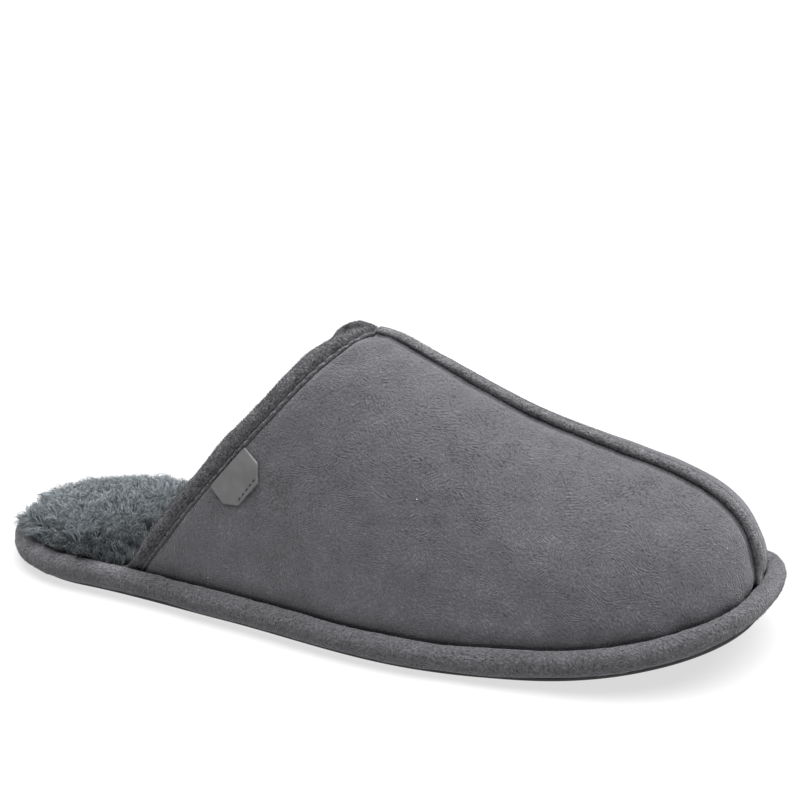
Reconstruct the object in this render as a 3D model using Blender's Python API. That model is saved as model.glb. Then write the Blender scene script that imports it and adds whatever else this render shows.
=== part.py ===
"""Scuff slipper for a right foot, in the pieces that its maker puts together: outsole, wrapped midsole,
fleece insole, upper, collar binding, centre strip and side tab.

Metres. +Z is up, +X runs to the toe and +Y to the inner (medial) side of the foot. The origin is on the
floor, under the middle of the sole.
"""

import math
import random
from collections import namedtuple

import bmesh
import bpy
import numpy as np

# Whole slipper
LENGTH = 0.290
HALF = LENGTH / 2
TOUCH_GAP = 0.0003

# Plan of the rim's outermost edge: half widths at shares of the length from the heel
Plan = namedtuple("Plan", "at lateral medial")
PLAN = (
    Plan(0.00, 0.0351, 0.0376),
    Plan(0.14, 0.0361, 0.0386),
    Plan(0.36, 0.0439, 0.0379),
    Plan(0.62, 0.0542, 0.0491),
    Plan(0.74, 0.0519, 0.0521),
    Plan(1.00, 0.0486, 0.0495),
)
HEEL_ROUND = 0.0430
TOE_ROUND = 0.0740
TOE_FULLNESS = 2.5

# Toe spring: the sole is flat up to the break and then rises to the tip
SPRING_BREAK = 0.66
TOE_SPRING = 0.0157

# Outsole: a thin sheet, set well in under the rim
OUTSOLE_THICKNESS = 0.0018
OUTSOLE_INSET = 0.0050
OUTSOLE_CORNER = 0.0005
OUTSOLE_ROWS = 40

# Wrapped midsole: the section of its padded rim, from the underside round to the groove
Rim = namedtuple("Rim", "inset height")
RIM = (
    Rim(0.0055, 0.0021),
    Rim(0.0032, 0.0025),
    Rim(0.0014, 0.0035),
    Rim(0.0003, 0.0051),
    Rim(0.0000, 0.0068),
    Rim(0.0004, 0.0087),
    Rim(0.0014, 0.0101),
    Rim(0.0029, 0.0111),
    Rim(0.0044, 0.0114),
    Rim(0.0057, 0.0109),
    Rim(0.0066, 0.0098),
    Rim(0.0070, 0.0086),
)
RIM_ROWS = 44
DECK = RIM[-1].height
CREST = max(row.height for row in RIM)

# Last: the ridge of the foot above the upper's lower edge, and how full each section is
Last = namedtuple("Last", "at ridge fullness")
LAST = (
    Last(0.20, 0.0905, 1.75),
    Last(0.50, 0.0894, 1.75),
    Last(0.53, 0.0884, 1.77),
    Last(0.60, 0.0804, 1.80),
    Last(0.66, 0.0722, 1.82),
    Last(0.72, 0.0650, 1.84),
    Last(0.84, 0.0528, 1.90),
    Last(1.00, 0.0430, 2.00),
)
RIDGE_ROUND = 0.0675
RIDGE_FULLNESS = 2.85
UPPER_FOOT = DECK + TOUCH_GAP
UPPER_INSET = 0.0061
TOE_TIP = HALF - UPPER_INSET
TUCK = 0.0012
TUCK_HEIGHT = 0.0070
WALL = 0.0030
UPPER_ROWS = 30
UPPER_COLUMNS = 34

# Vamp edge, where the binding starts: its place along the slipper for each place round the wall, from -1 at
# the lateral foot over 0 on the ridge to 1 at the medial foot
Edge = namedtuple("Edge", "at place")
VAMP_EDGE = (
    Edge(-1.00, -0.0772),
    Edge(-0.93, -0.0711),
    Edge(-0.80, -0.0577),
    Edge(-0.60, -0.0356),
    Edge(-0.45, -0.0207),
    Edge(-0.30, -0.0087),
    Edge(-0.14, 0.0015),
    Edge(0.00, 0.0067),
    Edge(0.14, 0.0015),
    Edge(0.30, -0.0087),
    Edge(0.45, -0.0207),
    Edge(0.60, -0.0356),
    Edge(0.80, -0.0572),
    Edge(0.93, -0.0702),
    Edge(1.00, -0.0762),
)

# Binding: its section along the wall from the topline to the vamp edge, and off the last's surface
Section = namedtuple("Section", "along off")
BINDING = (
    Section(0.0000, -0.0016),
    Section(0.0003, -0.0003),
    Section(0.0011, 0.0007),
    Section(0.0026, 0.0012),
    Section(0.0042, 0.0009),
    Section(0.0050, 0.0002),
    Section(0.0056, 0.0008),
    Section(0.0064, 0.0007),
    Section(0.0068, -0.0003),
    Section(0.0068, -0.0030),
    Section(0.0050, -0.0038),
    Section(0.0026, -0.0042),
    Section(0.0008, -0.0034),
)
BINDING_STATIONS = 40
BINDING_WIDTH = max(row.along for row in BINDING)
BINDING_TUCK_REACH = 0.008
# How much of that width it has from the ridge, 0, to either foot, 1
Band = namedtuple("Band", "at share")
BAND = (
    Band(0.00, 0.78),
    Band(0.08, 0.94),
    Band(0.20, 1.17),
    Band(0.40, 1.11),
    Band(0.60, 1.05),
    Band(0.85, 0.94),
    Band(1.00, 0.68),
)

# Centre strip: its section across the ridge, lateral side negative, and off the last's surface. A padded
# welt, a narrow stitched ridge on its medial side, and the underside that follows the ridge
Across = namedtuple("Across", "across off")
STRIP = (
    Across(-0.0016, 0.0003),
    Across(-0.0020, 0.0008),
    Across(-0.0021, 0.0018),
    Across(-0.0014, 0.0026),
    Across(-0.0001, 0.0029),
    Across(0.0012, 0.0025),
    Across(0.0021, 0.0017),
    Across(0.0024, 0.0012),
    Across(0.0029, 0.0015),
    Across(0.0036, 0.0014),
    Across(0.0040, 0.0009),
    Across(0.0038, 0.0003),
    Across(0.0019, 0.0003),
    Across(0.0000, 0.0003),
)
STRIP_STATIONS = 34
STRIP_START_SHARE = 0.62
STRIP_START_TAPER = 0.045
STRIP_TIP_SHARE = 0.55
STRIP_TIP_TAPER = 0.010

# Insole: a foam sock with its fleece pile, closer to the rim at the open heel than inside the upper
INSOLE_INSET_HEEL = 0.0074
INSOLE_INSET_VAMP = 0.0119
INSOLE_STEP_START = -0.096
INSOLE_STEP_END = -0.082
INSOLE_ROWS = 50
INSOLE_COLUMNS = 14
PILE_HEIGHT = 0.0108
PILE_EDGE = 0.0068
PILE_SHOULDER = 0.008
LOCK_RELIEF = 0.0011
LOCK_SEED = 7

# Side tab: its flat pattern, away from the vamp edge and half as wide as it is along that edge
Tab = namedtuple("Tab", "away half_width")
TAB = (
    Tab(0.0006, 0.0100),
    Tab(0.0044, 0.0103),
    Tab(0.0082, 0.0104),
    Tab(0.0107, 0.0082),
    Tab(0.0131, 0.0058),
)
TAB_PLACE = -0.622
TAB_THICKNESS = 0.0011
TAB_COLUMNS = 6

Finish = namedtuple("Finish", "colour roughness metallic")
SUEDE = Finish((0.118, 0.118, 0.124, 1.0), 0.92, 0.0)
SUEDE_TRIM = Finish((0.100, 0.100, 0.105, 1.0), 0.92, 0.0)
FLEECE = Finish((0.075, 0.088, 0.094, 1.0), 1.0, 0.0)
RUBBER = Finish((0.022, 0.022, 0.024, 1.0), 0.70, 0.0)
LEATHER = Finish((0.125, 0.125, 0.128, 1.0), 0.55, 0.0)


def curve_through(rows, column, at):
    """A table's column as a smooth curve with no overshoot between its rows (monotone cubic)."""
    x = np.array([row.at for row in rows])
    y = np.array([getattr(row, column) for row in rows])
    step = np.diff(x)
    slope = np.diff(y) / step
    tangent = np.zeros(len(x))
    for i in range(1, len(x) - 1):
        if slope[i - 1] * slope[i] > 0:
            near = 2 * step[i] + step[i - 1]
            far = step[i] + 2 * step[i - 1]
            tangent[i] = (near + far) / (near / slope[i - 1] + far / slope[i])
    tangent[0], tangent[-1] = slope[0], slope[-1]
    at = np.clip(np.asarray(at, float), x[0], x[-1])
    i = np.clip(np.searchsorted(x, at) - 1, 0, len(x) - 2)
    t = (at - x[i]) / step[i]
    return (
        y[i] * (1 + 2 * t) * (1 - t) ** 2
        + tangent[i] * step[i] * t * (1 - t) ** 2
        + y[i + 1] * t * t * (3 - 2 * t)
        + tangent[i + 1] * step[i] * t * t * (t - 1)
    )


def eased(t):
    t = np.clip(t, 0.0, 1.0)
    return t * t * (3 - 2 * t)


def unit(vector):
    return vector / np.linalg.norm(vector)


def end_spaced(count):
    """Shares from 0 to 1, close together at both ends, as a rounded end needs."""
    return (1 - np.cos(np.linspace(0, math.pi, count + 1))) / 2


def rounded_end(distance, length, fullness):
    """1 away from an end, falling to 0 at it as a superellipse does; distance is from the end."""
    t = np.clip(1 - np.asarray(distance, float) / length, 0.0, 1.0)
    return (1 - t**fullness) ** (1 / fullness)


def plan_half_width(side, from_heel):
    heel = rounded_end(from_heel, HEEL_ROUND, 2.0)
    toe = rounded_end(LENGTH - from_heel, TOE_ROUND, TOE_FULLNESS)
    return curve_through(PLAN, side, from_heel / LENGTH) * heel * toe


def parallel_plan(inset):
    """The sole's outline moved in by inset, as {side: (x, half width)} for reading off widths."""
    along = end_spaced(400) * LENGTH
    lateral = np.column_stack([along - HALF, -plan_half_width("lateral", along)])
    medial = np.column_stack([along - HALF, plan_half_width("medial", along)])
    points = np.vstack([lateral, medial[-2:0:-1]])
    tangent = np.roll(points, -1, axis=0) - np.roll(points, 1, axis=0)
    tangent /= np.linalg.norm(tangent, axis=1)[:, None]
    inner = points + inset * np.column_stack([-tangent[:, 1], tangent[:, 0]])
    tip = HALF - inset
    sides = {}
    for side, sign in (("lateral", -1), ("medial", 1)):
        kept = inner[inner[:, 1] * sign > 0]
        kept = kept[np.argsort(kept[:, 0])]
        x = np.concatenate([[-tip], kept[:, 0], [tip]])
        sides[side] = (x, np.concatenate([[0.0], kept[:, 1] * sign, [0.0]]))
    return sides


PLANS = {}


def half_width_at(inset, side, x):
    if inset not in PLANS:
        PLANS[inset] = parallel_plan(inset)
    return np.interp(x, *PLANS[inset][side])


def lift(x):
    """How far toe spring raises the sole above the floor at x."""
    t = np.clip((x + HALF - SPRING_BREAK * LENGTH) / ((1 - SPRING_BREAK) * LENGTH), 0.0, 1.0)
    return TOE_SPRING * t * t


def ring(inset, height, rows):
    """Closed loop round the sole: heel tip, lateral side, toe tip, medial side, in pairs at equal x."""
    tip = HALF - inset
    x = -tip + 2 * tip * end_spaced(rows)
    lateral = np.column_stack([x, -half_width_at(inset, "lateral", x)])
    medial = np.column_stack([x, half_width_at(inset, "medial", x)])
    loop = np.vstack([lateral, medial[-2:0:-1]])
    return [(px, py, height + float(lift(px))) for px, py in loop]


def last_section(side, x):
    """The last at x on one side: its ridge above the upper's foot, its half width and its fullness."""
    share = (x + HALF) / LENGTH
    ridge = curve_through(LAST, "ridge", share) * rounded_end(TOE_TIP - x, RIDGE_ROUND, RIDGE_FULLNESS)
    return float(ridge), float(half_width_at(UPPER_INSET, side, x)), float(curve_through(LAST, "fullness", share))


def plan_outward(side, x):
    """The direction in plan that is square to the upper's outline at x, away from the foot."""
    step = 0.0004
    low, high = half_width_at(UPPER_INSET, side, np.array([x - step, x + step]))
    return unit(np.array([-(high - low) / (2 * step), 1.0]))


def last_point(x, v):
    """Point on the last's outside. v runs from -1 at the lateral foot over 0 on the ridge to 1."""
    side, sign = ("lateral", -1) if v < 0 else ("medial", 1)
    ridge, half, fullness = last_section(side, x)
    angle = (1 - abs(v)) * math.pi / 2
    out = half * math.cos(angle) ** (2 / fullness)
    rise = ridge * math.sin(angle) ** (2 / fullness)
    # The wall tucks in over its last few millimetres, where it is lasted down behind the rim
    tuck = TUCK * max(1 - rise / TUCK_HEIGHT, 0.0) ** 2
    outward = plan_outward(side, x)
    return np.array([x - tuck * outward[0], sign * (out - tuck * outward[1]), UPPER_FOOT + lift(x) + rise])


def last_normal(x, v):
    """Outward normal of the last at (x, v), level at the upper's foot."""
    x = min(x, TOE_TIP - 0.0004)
    step_x, step_v = 0.0003, 0.004
    low, high = max(v - step_v, -1.0), min(v + step_v, 1.0)
    along = last_point(x + step_x, v) - last_point(x - step_x, v)
    across = last_point(x, high) - last_point(x, low)
    normal = unit(np.cross(along, across))
    return unit(normal * (1, 1, 0)) if abs(v) == 1 else normal


def inside_last(point):
    """True where a point lies inside the last's form."""
    if point[0] >= TOE_TIP:
        return False
    ridge, half, fullness = last_section("lateral" if point[1] < 0 else "medial", point[0])
    rise = max(point[2] - UPPER_FOOT - lift(point[0]), 0.0)
    return (abs(point[1]) / half) ** fullness + (rise / ridge) ** fullness < 1


def drop_on_last(point, direction, reach=0.012):
    """Where a line from a point outside, along the direction, meets the last."""
    near, far = 0.0, reach
    for _ in range(40):
        middle = (near + far) / 2
        if inside_last(point + direction * middle):
            far = middle
        else:
            near = middle
    return point + direction * far


def edge_direction(v):
    """The vamp edge's direction at v, from the lateral foot towards the medial one."""
    step = 0.01
    low, high = max(v - step, -1.0), min(v + step, 1.0)
    ends = [last_point(float(curve_through(VAMP_EDGE, "place", end)), end) for end in (low, high)]
    return unit(ends[1] - ends[0])


def before_edge(v, distance):
    """The x that lies distance behind the vamp edge at v, measured along the wall square to the edge."""
    x = float(curve_through(VAMP_EDGE, "place", v))
    direction = edge_direction(v)
    probe = 0.001
    forward = last_point(x + probe, v) - last_point(x, v)
    square = forward - direction * (forward @ direction)
    return x - distance * probe / np.linalg.norm(square)


def round_the_wall(count):
    """Values of v from the lateral foot to the medial one, a little closer together at the feet."""
    return [math.copysign(abs(t) ** 0.9, t) for t in np.linspace(-1, 1, count + 1)]


def new_object(name, bm, finish):
    bmesh.ops.recalc_face_normals(bm, faces=bm.faces[:])
    mesh = bpy.data.meshes.new(name)
    bm.to_mesh(mesh)
    bm.free()
    mesh.shade_smooth()
    mesh.set_sharp_from_angle(angle=math.radians(50))
    obj = bpy.data.objects.new(name, mesh)
    bpy.context.scene.collection.objects.link(obj)
    material = bpy.data.materials.new(name)
    material.use_nodes = True
    shader = material.node_tree.nodes["Principled BSDF"]
    shader.inputs["Base Color"].default_value = finish.colour
    shader.inputs["Roughness"].default_value = finish.roughness
    shader.inputs["Metallic"].default_value = finish.metallic
    mesh.materials.append(material)
    return obj


def closed_loop(bm, points):
    verts = [bm.verts.new(point) for point in points]
    edges = [bm.edges.new((verts[i - 1], verts[i])) for i in range(len(verts))]
    return verts, edges


def skin(bm, loops):
    """Bridges each closed loop to the next with one band of faces."""
    for (_, first), (_, second) in zip(loops, loops[1:]):
        bmesh.ops.bridge_loops(bm, edges=first + second)


def cap_across(bm, verts):
    """Closes a sole-shaped loop with faces from side to side, so that toe spring stays true."""
    for i in range(len(verts) // 2):
        corners = [verts[i], verts[i + 1], verts[-i - 1], verts[-i if i else 0]]
        bm.faces.new(dict.fromkeys(corners))


def grid_faces(bm, rows):
    for a, b in zip(rows, rows[1:]):
        for i in range(len(a) - 1):
            bm.faces.new((a[i], a[i + 1], b[i + 1], b[i]))


def make_outsole():
    bm = bmesh.new()
    floor_inset = OUTSOLE_INSET + OUTSOLE_CORNER
    section = ((floor_inset, 0.0), (OUTSOLE_INSET, OUTSOLE_CORNER), (OUTSOLE_INSET, OUTSOLE_THICKNESS))
    loops = [closed_loop(bm, ring(*row, OUTSOLE_ROWS)) for row in section]
    skin(bm, loops)
    cap_across(bm, loops[0][0])
    cap_across(bm, loops[-1][0])
    return new_object("outsole", bm, RUBBER)


def make_midsole():
    bm = bmesh.new()
    loops = [closed_loop(bm, ring(row.inset, row.height, RIM_ROWS)) for row in RIM]
    skin(bm, loops)
    cap_across(bm, loops[0][0])
    cap_across(bm, loops[-1][0])
    return new_object("wrapped_midsole", bm, SUEDE)


def insole_half_width(side, x):
    heel = half_width_at(INSOLE_INSET_HEEL, side, x)
    vamp = half_width_at(INSOLE_INSET_VAMP, side, x)
    share = eased((x - INSOLE_STEP_START) / (INSOLE_STEP_END - INSOLE_STEP_START))
    return float(heel + (vamp - heel) * share)


def make_insole():
    """A sock with a flat underside and a fleece top of soft locks, lower round its edge."""
    rng = random.Random(LOCK_SEED)
    bm = bmesh.new()
    heel_tip = -(HALF - INSOLE_INSET_HEEL)
    toe_tip = HALF - INSOLE_INSET_VAMP
    foot = DECK + TOUCH_GAP
    tops, lows = [], []
    for row, x in enumerate(heel_tip + (toe_tip - heel_tip) * end_spaced(INSOLE_ROWS)):
        base = foot + float(lift(x))
        if row in (0, INSOLE_ROWS):
            lows.append([bm.verts.new((x, 0, base))])
            tops.append([bm.verts.new((x, 0, base + PILE_EDGE))])
            continue
        lateral, medial = insole_half_width("lateral", x), insole_half_width("medial", x)
        top = []
        for column, share in enumerate(np.linspace(-1, 1, INSOLE_COLUMNS + 1)):
            y = share * (medial if share > 0 else lateral)
            edge = min(medial - y, y + lateral, x - heel_tip, toe_tip - x)
            crown = math.sin(min(edge / PILE_SHOULDER, 1.0) * math.pi / 2)
            pile = PILE_EDGE + (PILE_HEIGHT - PILE_EDGE) * crown
            lock = LOCK_RELIEF * crown**3 * rng.uniform(0.3, 1.0) * (-1) ** (row + column)
            top.append(bm.verts.new((x, y, base + pile + lock)))
        tops.append(top)
        lows.append([bm.verts.new((x, -lateral, base)), bm.verts.new((x, medial, base))])

    grid_faces(bm, tops[1:-1])
    grid_faces(bm, lows[1:-1])
    for side in (0, -1):
        grid_faces(bm, [[low[side], top[side]] for low, top in zip(lows[1:-1], tops[1:-1])])
    for top, low, top_tip, low_tip in (
        (tops[1], lows[1], tops[0][0], lows[0][0]),
        (tops[-2], lows[-2], tops[-1][0], lows[-1][0]),
    ):
        for a, b in zip(top, top[1:]):
            bm.faces.new((a, b, top_tip))
        bm.faces.new((low[0], low[1], low_tip))
        bm.faces.new((top[0], top_tip, low_tip, low[0]))
        bm.faces.new((top[-1], top_tip, low_tip, low[1]))
    return new_object("insole", bm, FLEECE)


def make_upper():
    """The vamp as one wall: an outer skin on the last and an inner one a wall's thickness inside it."""
    bm = bmesh.new()
    places = round_the_wall(UPPER_COLUMNS)
    starts = [before_edge(v, -TOUCH_GAP) for v in places]
    for depth in (0.0, WALL):
        rows = []
        for share in np.sin(np.linspace(0, math.pi / 2, UPPER_ROWS + 1))[:-1]:
            row = []
            for v, start in zip(places, starts):
                x = start + (TOE_TIP - start) * share
                row.append(bm.verts.new(last_point(x, v) - depth * last_normal(x, v)))
            rows.append(row)
        grid_faces(bm, rows)
        end = bm.verts.new(last_point(TOE_TIP, 1.0) - (depth, 0, 0))
        for a, b in zip(rows[-1], rows[-1][1:]):
            bm.faces.new((a, b, end))
    bmesh.ops.bridge_loops(bm, edges=[edge for edge in bm.edges if edge.is_boundary])
    return new_object("upper", bm, SUEDE)


def make_binding():
    """The rolled band round the topline, with the stitched ridge next to the vamp edge."""
    bm = bmesh.new()
    loops = []
    for v in round_the_wall(BINDING_STATIONS):
        rise = last_point(before_edge(v, 0.0), v)[2] - UPPER_FOOT
        width = float(curve_through(BAND, "share", abs(v)))
        proud = float(eased(rise / BINDING_TUCK_REACH))
        points = []
        for row in BINDING:
            x = before_edge(v, (BINDING_WIDTH - row.along) * width)
            off = row.off * proud if row.off > 0 else row.off
            points.append(last_point(x, v) + off * last_normal(x, v))
        loops.append(closed_loop(bm, points))
    skin(bm, loops)
    bm.faces.new(loops[0][0])
    bm.faces.new(loops[-1][0])
    return new_object("collar_binding", bm, SUEDE_TRIM)


def ridge_line(count):
    """Points on the ridge from the binding to just above the rim at the toe, evenly spaced."""
    start = before_edge(0.0, -TOUCH_GAP)
    x = start + (TOE_TIP - start) * np.sin(np.linspace(0, math.pi / 2, 400))
    line = np.array([last_point(value, 0.0) for value in x])
    line = line[line[:, 2] > CREST + float(lift(TOE_TIP)) + 2 * TOUCH_GAP]
    travel = np.concatenate([[0], np.cumsum(np.linalg.norm(np.diff(line, axis=0), axis=1))])
    even = np.linspace(0, travel[-1], count)
    return np.column_stack([np.interp(even, travel, line[:, i]) for i in range(3)]), even


def make_strip():
    """The padded welt over the centre seam, with its stitched ridge on the medial side."""
    bm = bmesh.new()
    line, travel = ridge_line(STRIP_STATIONS)
    above = 0.004
    loops = []
    for point, tangent, gone in zip(line, np.gradient(line, axis=0), travel):
        normal = unit(np.cross(tangent, (0, 1, 0)))
        normal *= math.copysign(1, normal[2] + normal[0])
        start = STRIP_START_SHARE + (1 - STRIP_START_SHARE) * float(eased(gone / STRIP_START_TAPER))
        tip = STRIP_TIP_SHARE + (1 - STRIP_TIP_SHARE) * float(eased((travel[-1] - gone) / STRIP_TIP_TAPER))
        points = []
        for row in STRIP:
            ground = drop_on_last(point + normal * above + (0, row.across, 0), -normal)
            points.append(ground + normal * (TOUCH_GAP + (row.off - TOUCH_GAP) * start * tip))
        loops.append(closed_loop(bm, points))
    skin(bm, loops)
    bm.faces.new(loops[0][0])
    bm.faces.new(loops[-1][0])
    return new_object("centre_strip", bm, SUEDE_TRIM)


def make_tab():
    """The side tab: its flat pattern laid on the lateral wall, from the vamp edge forward."""
    bm = bmesh.new()
    x = before_edge(TAB_PLACE, 0.0)
    centre = last_point(x, TAB_PLACE)
    normal = last_normal(x, TAB_PLACE)
    along = edge_direction(TAB_PLACE)
    away = np.cross(along, normal)
    away *= math.copysign(1, away[0])
    above = 0.004
    for off in (TOUCH_GAP, TOUCH_GAP + TAB_THICKNESS):
        rows = []
        for row in TAB:
            points = []
            for share in np.linspace(-1, 1, TAB_COLUMNS + 1):
                flat = centre + away * row.away + along * (row.half_width * share) + normal * above
                points.append(bm.verts.new(drop_on_last(flat, -normal) + normal * off))
            rows.append(points)
        grid_faces(bm, rows)
    bmesh.ops.bridge_loops(bm, edges=[edge for edge in bm.edges if edge.is_boundary])
    return new_object("side_tab", bm, LEATHER)


def main():
    for obj in list(bpy.data.objects):
        bpy.data.objects.remove(obj)
    make_outsole()
    make_midsole()
    make_insole()
    make_upper()
    make_binding()
    make_strip()
    make_tab()


main()
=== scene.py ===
"""The looks of a right-foot scuff slipper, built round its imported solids.

Metres. +X runs to the toe, +Y to the inner (medial) side of the foot and +Z up, and the floor is at z = 0.
Each piece of the slipper has an operator of its own, and so has the stage. Run as a script, the file calls
them all in order.
"""

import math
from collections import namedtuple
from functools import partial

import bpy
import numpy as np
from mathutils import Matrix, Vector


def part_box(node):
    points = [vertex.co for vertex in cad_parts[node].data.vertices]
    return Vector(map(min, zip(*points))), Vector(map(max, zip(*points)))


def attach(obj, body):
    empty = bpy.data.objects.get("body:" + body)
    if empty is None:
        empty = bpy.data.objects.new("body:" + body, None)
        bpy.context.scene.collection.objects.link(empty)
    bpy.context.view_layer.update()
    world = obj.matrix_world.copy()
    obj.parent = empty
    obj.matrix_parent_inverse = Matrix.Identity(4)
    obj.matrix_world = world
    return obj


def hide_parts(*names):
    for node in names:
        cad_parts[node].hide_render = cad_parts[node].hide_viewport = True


bl_info = {
    "name": "Scuff Slipper",
    "version": (1, 0, 0),
    "blender": (4, 5, 0),
    "location": "3D View > Sidebar > Slipper",
    "description": "Cloth, fleece, seams, tab and stage of a right-foot scuff slipper",
    "category": "Add Mesh",
}

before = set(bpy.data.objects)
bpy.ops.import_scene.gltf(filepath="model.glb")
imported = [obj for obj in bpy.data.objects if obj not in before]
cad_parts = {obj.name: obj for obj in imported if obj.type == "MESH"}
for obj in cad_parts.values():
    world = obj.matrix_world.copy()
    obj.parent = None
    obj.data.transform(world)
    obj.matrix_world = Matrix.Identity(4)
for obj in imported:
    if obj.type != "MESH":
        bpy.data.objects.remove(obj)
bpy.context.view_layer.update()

# The slipper's length and its plan, as its solids have them
SOLE_LOW, SOLE_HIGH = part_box("wrapped_midsole")
LENGTH = round(SOLE_HIGH.x - SOLE_LOW.x, 4)
HALF = LENGTH / 2
TOUCH_GAP = 0.0003

Plan = namedtuple("Plan", "at lateral medial")
PLAN = (
    Plan(0.00, 0.0351, 0.0376), Plan(0.14, 0.0361, 0.0386), Plan(0.36, 0.0439, 0.0379),
    Plan(0.62, 0.0542, 0.0491), Plan(0.74, 0.0519, 0.0521), Plan(1.00, 0.0486, 0.0495),
)
PLAN_POINTS = 1600
HEEL_ROUND = 0.0430
TOE_ROUND = 0.0740
TOE_FULLNESS = 2.5
SPRING_BREAK = 0.66
TOE_SPRING = 0.0157

# Padded rim: its section from the underside round to the groove
Rim = namedtuple("Rim", "inset height")
RIM = (
    Rim(0.0055, 0.0021), Rim(0.0032, 0.0025), Rim(0.0014, 0.0035), Rim(0.0003, 0.0051), Rim(0.0000, 0.0068),
    Rim(0.0004, 0.0087), Rim(0.0014, 0.0101), Rim(0.0029, 0.0111), Rim(0.0044, 0.0114), Rim(0.0057, 0.0109),
    Rim(0.0066, 0.0098), Rim(0.0070, 0.0086),
)
DECK = RIM[-1].height
CREST = max(row.height for row in RIM)

# Last: the ridge above the upper's lower edge, and how full each section is
Last = namedtuple("Last", "at ridge fullness")
LAST = (
    Last(0.20, 0.0905, 1.75), Last(0.50, 0.0894, 1.75), Last(0.53, 0.0884, 1.77), Last(0.60, 0.0804, 1.80),
    Last(0.66, 0.0722, 1.82), Last(0.72, 0.0650, 1.84), Last(0.84, 0.0528, 1.90), Last(1.00, 0.0430, 2.00),
)
RIDGE_ROUND = 0.0675
RIDGE_FULLNESS = 2.85
UPPER_FOOT = DECK + TOUCH_GAP
UPPER_INSET = 0.0061
TOE_TIP = HALF - UPPER_INSET
TUCK = 0.0012
TUCK_HEIGHT = 0.0070

# Vamp edge: its place along the slipper, from -1 at the lateral foot over 0 on the ridge to 1
Edge = namedtuple("Edge", "at place")
VAMP_EDGE = (
    Edge(-1.00, -0.0772), Edge(-0.93, -0.0711), Edge(-0.80, -0.0577), Edge(-0.60, -0.0356),
    Edge(-0.45, -0.0207), Edge(-0.30, -0.0087), Edge(-0.14, 0.0015), Edge(0.00, 0.0067), Edge(0.14, 0.0015),
    Edge(0.30, -0.0087), Edge(0.45, -0.0207), Edge(0.60, -0.0356), Edge(0.80, -0.0572), Edge(0.93, -0.0702),
    Edge(1.00, -0.0762),
)

# Binding: its section along the wall from the topline to the vamp edge, and off the last
Section = namedtuple("Section", "along off")
BINDING = (
    Section(0.0000, -0.0016), Section(0.0002, -0.0003), Section(0.0010, 0.0007), Section(0.0026, 0.0013),
    Section(0.0042, 0.0011), Section(0.0051, 0.0005), Section(0.0055, -0.0003), Section(0.0059, 0.0005),
    Section(0.0063, 0.0007), Section(0.0067, 0.0003), Section(0.0068, -0.0006), Section(0.0068, -0.0030),
    Section(0.0050, -0.0038), Section(0.0026, -0.0042), Section(0.0008, -0.0034),
)
BINDING_WIDTH = max(row.along for row in BINDING)
BINDING_TUCK_REACH = 0.008
SEAM_ALONG = 0.0050
Band = namedtuple("Band", "at share")
BAND = (
    Band(0.00, 0.78), Band(0.08, 1.10), Band(0.20, 1.22), Band(0.40, 1.11), Band(0.60, 1.05),
    Band(0.85, 0.94), Band(1.00, 0.72),
)

# Centre strip: its section across the ridge, lateral side negative, and off the last
Across = namedtuple("Across", "across off")
STRIP = (
    Across(-0.0016, 0.0003), Across(-0.0020, 0.0008), Across(-0.0021, 0.0018), Across(-0.0014, 0.0026),
    Across(-0.0001, 0.0029), Across(0.0012, 0.0025), Across(0.0021, 0.0017), Across(0.0024, 0.0012),
    Across(0.0029, 0.0015), Across(0.0036, 0.0014), Across(0.0040, 0.0009), Across(0.0038, 0.0003),
    Across(0.0019, 0.0003), Across(0.0000, 0.0003),
)
STRIP_START_SHARE = 0.62
STRIP_START_TAPER = 0.045
STRIP_TIP_SHARE = 0.55
STRIP_TIP_TAPER = 0.010

# Insole
INSOLE_INSET_HEEL = 0.0074
INSOLE_INSET_VAMP = 0.0119
INSOLE_STEP_START = -0.096
INSOLE_STEP_END = -0.082
PILE_HEIGHT = 0.0108
PILE_EDGE = 0.0068
PILE_SHOULDER = 0.008

# Side tab: its flat pattern, away from the vamp edge and half as wide as it is along that edge
Tab = namedtuple("Tab", "away half_width")
TAB = (Tab(0.0006, 0.0100), Tab(0.0082, 0.0104), Tab(0.0131, 0.0058))
TAB_PLACE = -0.622
TAB_THICKNESS = 0.0011

# Soft troughs in the cloth of the vamp, listed one by one: from (x, v) to (x, v), with half width and depth
Crease = namedtuple("Crease", "x_start v_start x_end v_end reach depth")
CREASES = (
    Crease(0.0153, -0.541, 0.0363, -0.524, 0.0060, 0.00016),
    Crease(0.0207, -0.685, 0.0449, -0.609, 0.0022, 0.00020),
    Crease(-0.0074, -0.532, -0.0023, -0.572, 0.0042, 0.00030),
    Crease(-0.0005, -0.270, 0.0120, -0.175, 0.0034, 0.00045),
    Crease(0.0153, -0.253, 0.0271, -0.278, 0.0045, 0.00026),
    Crease(0.0323, -0.853, 0.0345, -0.923, 0.0045, 0.00030),
    Crease(0.0789, -0.808, 0.0806, -0.905, 0.0045, 0.00036),
    Crease(0.0816, -0.448, 0.1004, -0.581, 0.0100, 0.00040),
    Crease(-0.0245, -0.707, -0.0117, -0.654, 0.0045, 0.00024),
    Crease(0.0342, -0.364, 0.0460, -0.411, 0.0050, 0.00026),
    Crease(0.0300, 0.520, 0.0480, 0.560, 0.0045, 0.00030),
    Crease(-0.0040, 0.300, 0.0080, 0.220, 0.0040, 0.00036),
    Crease(0.0640, 0.640, 0.0800, 0.720, 0.0060, 0.00034),
    Crease(0.0200, 0.800, 0.0240, 0.900, 0.0050, 0.00030),
)

# Pale lint caught in the nap, as (x, v) on the wall
LINT = (
    (-0.0246, -0.544), (-0.0457, -0.940), (0.1334, -0.388),
    (0.0360, -0.562), (0.0420, 0.480), (0.0900, 0.610),
)

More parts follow.
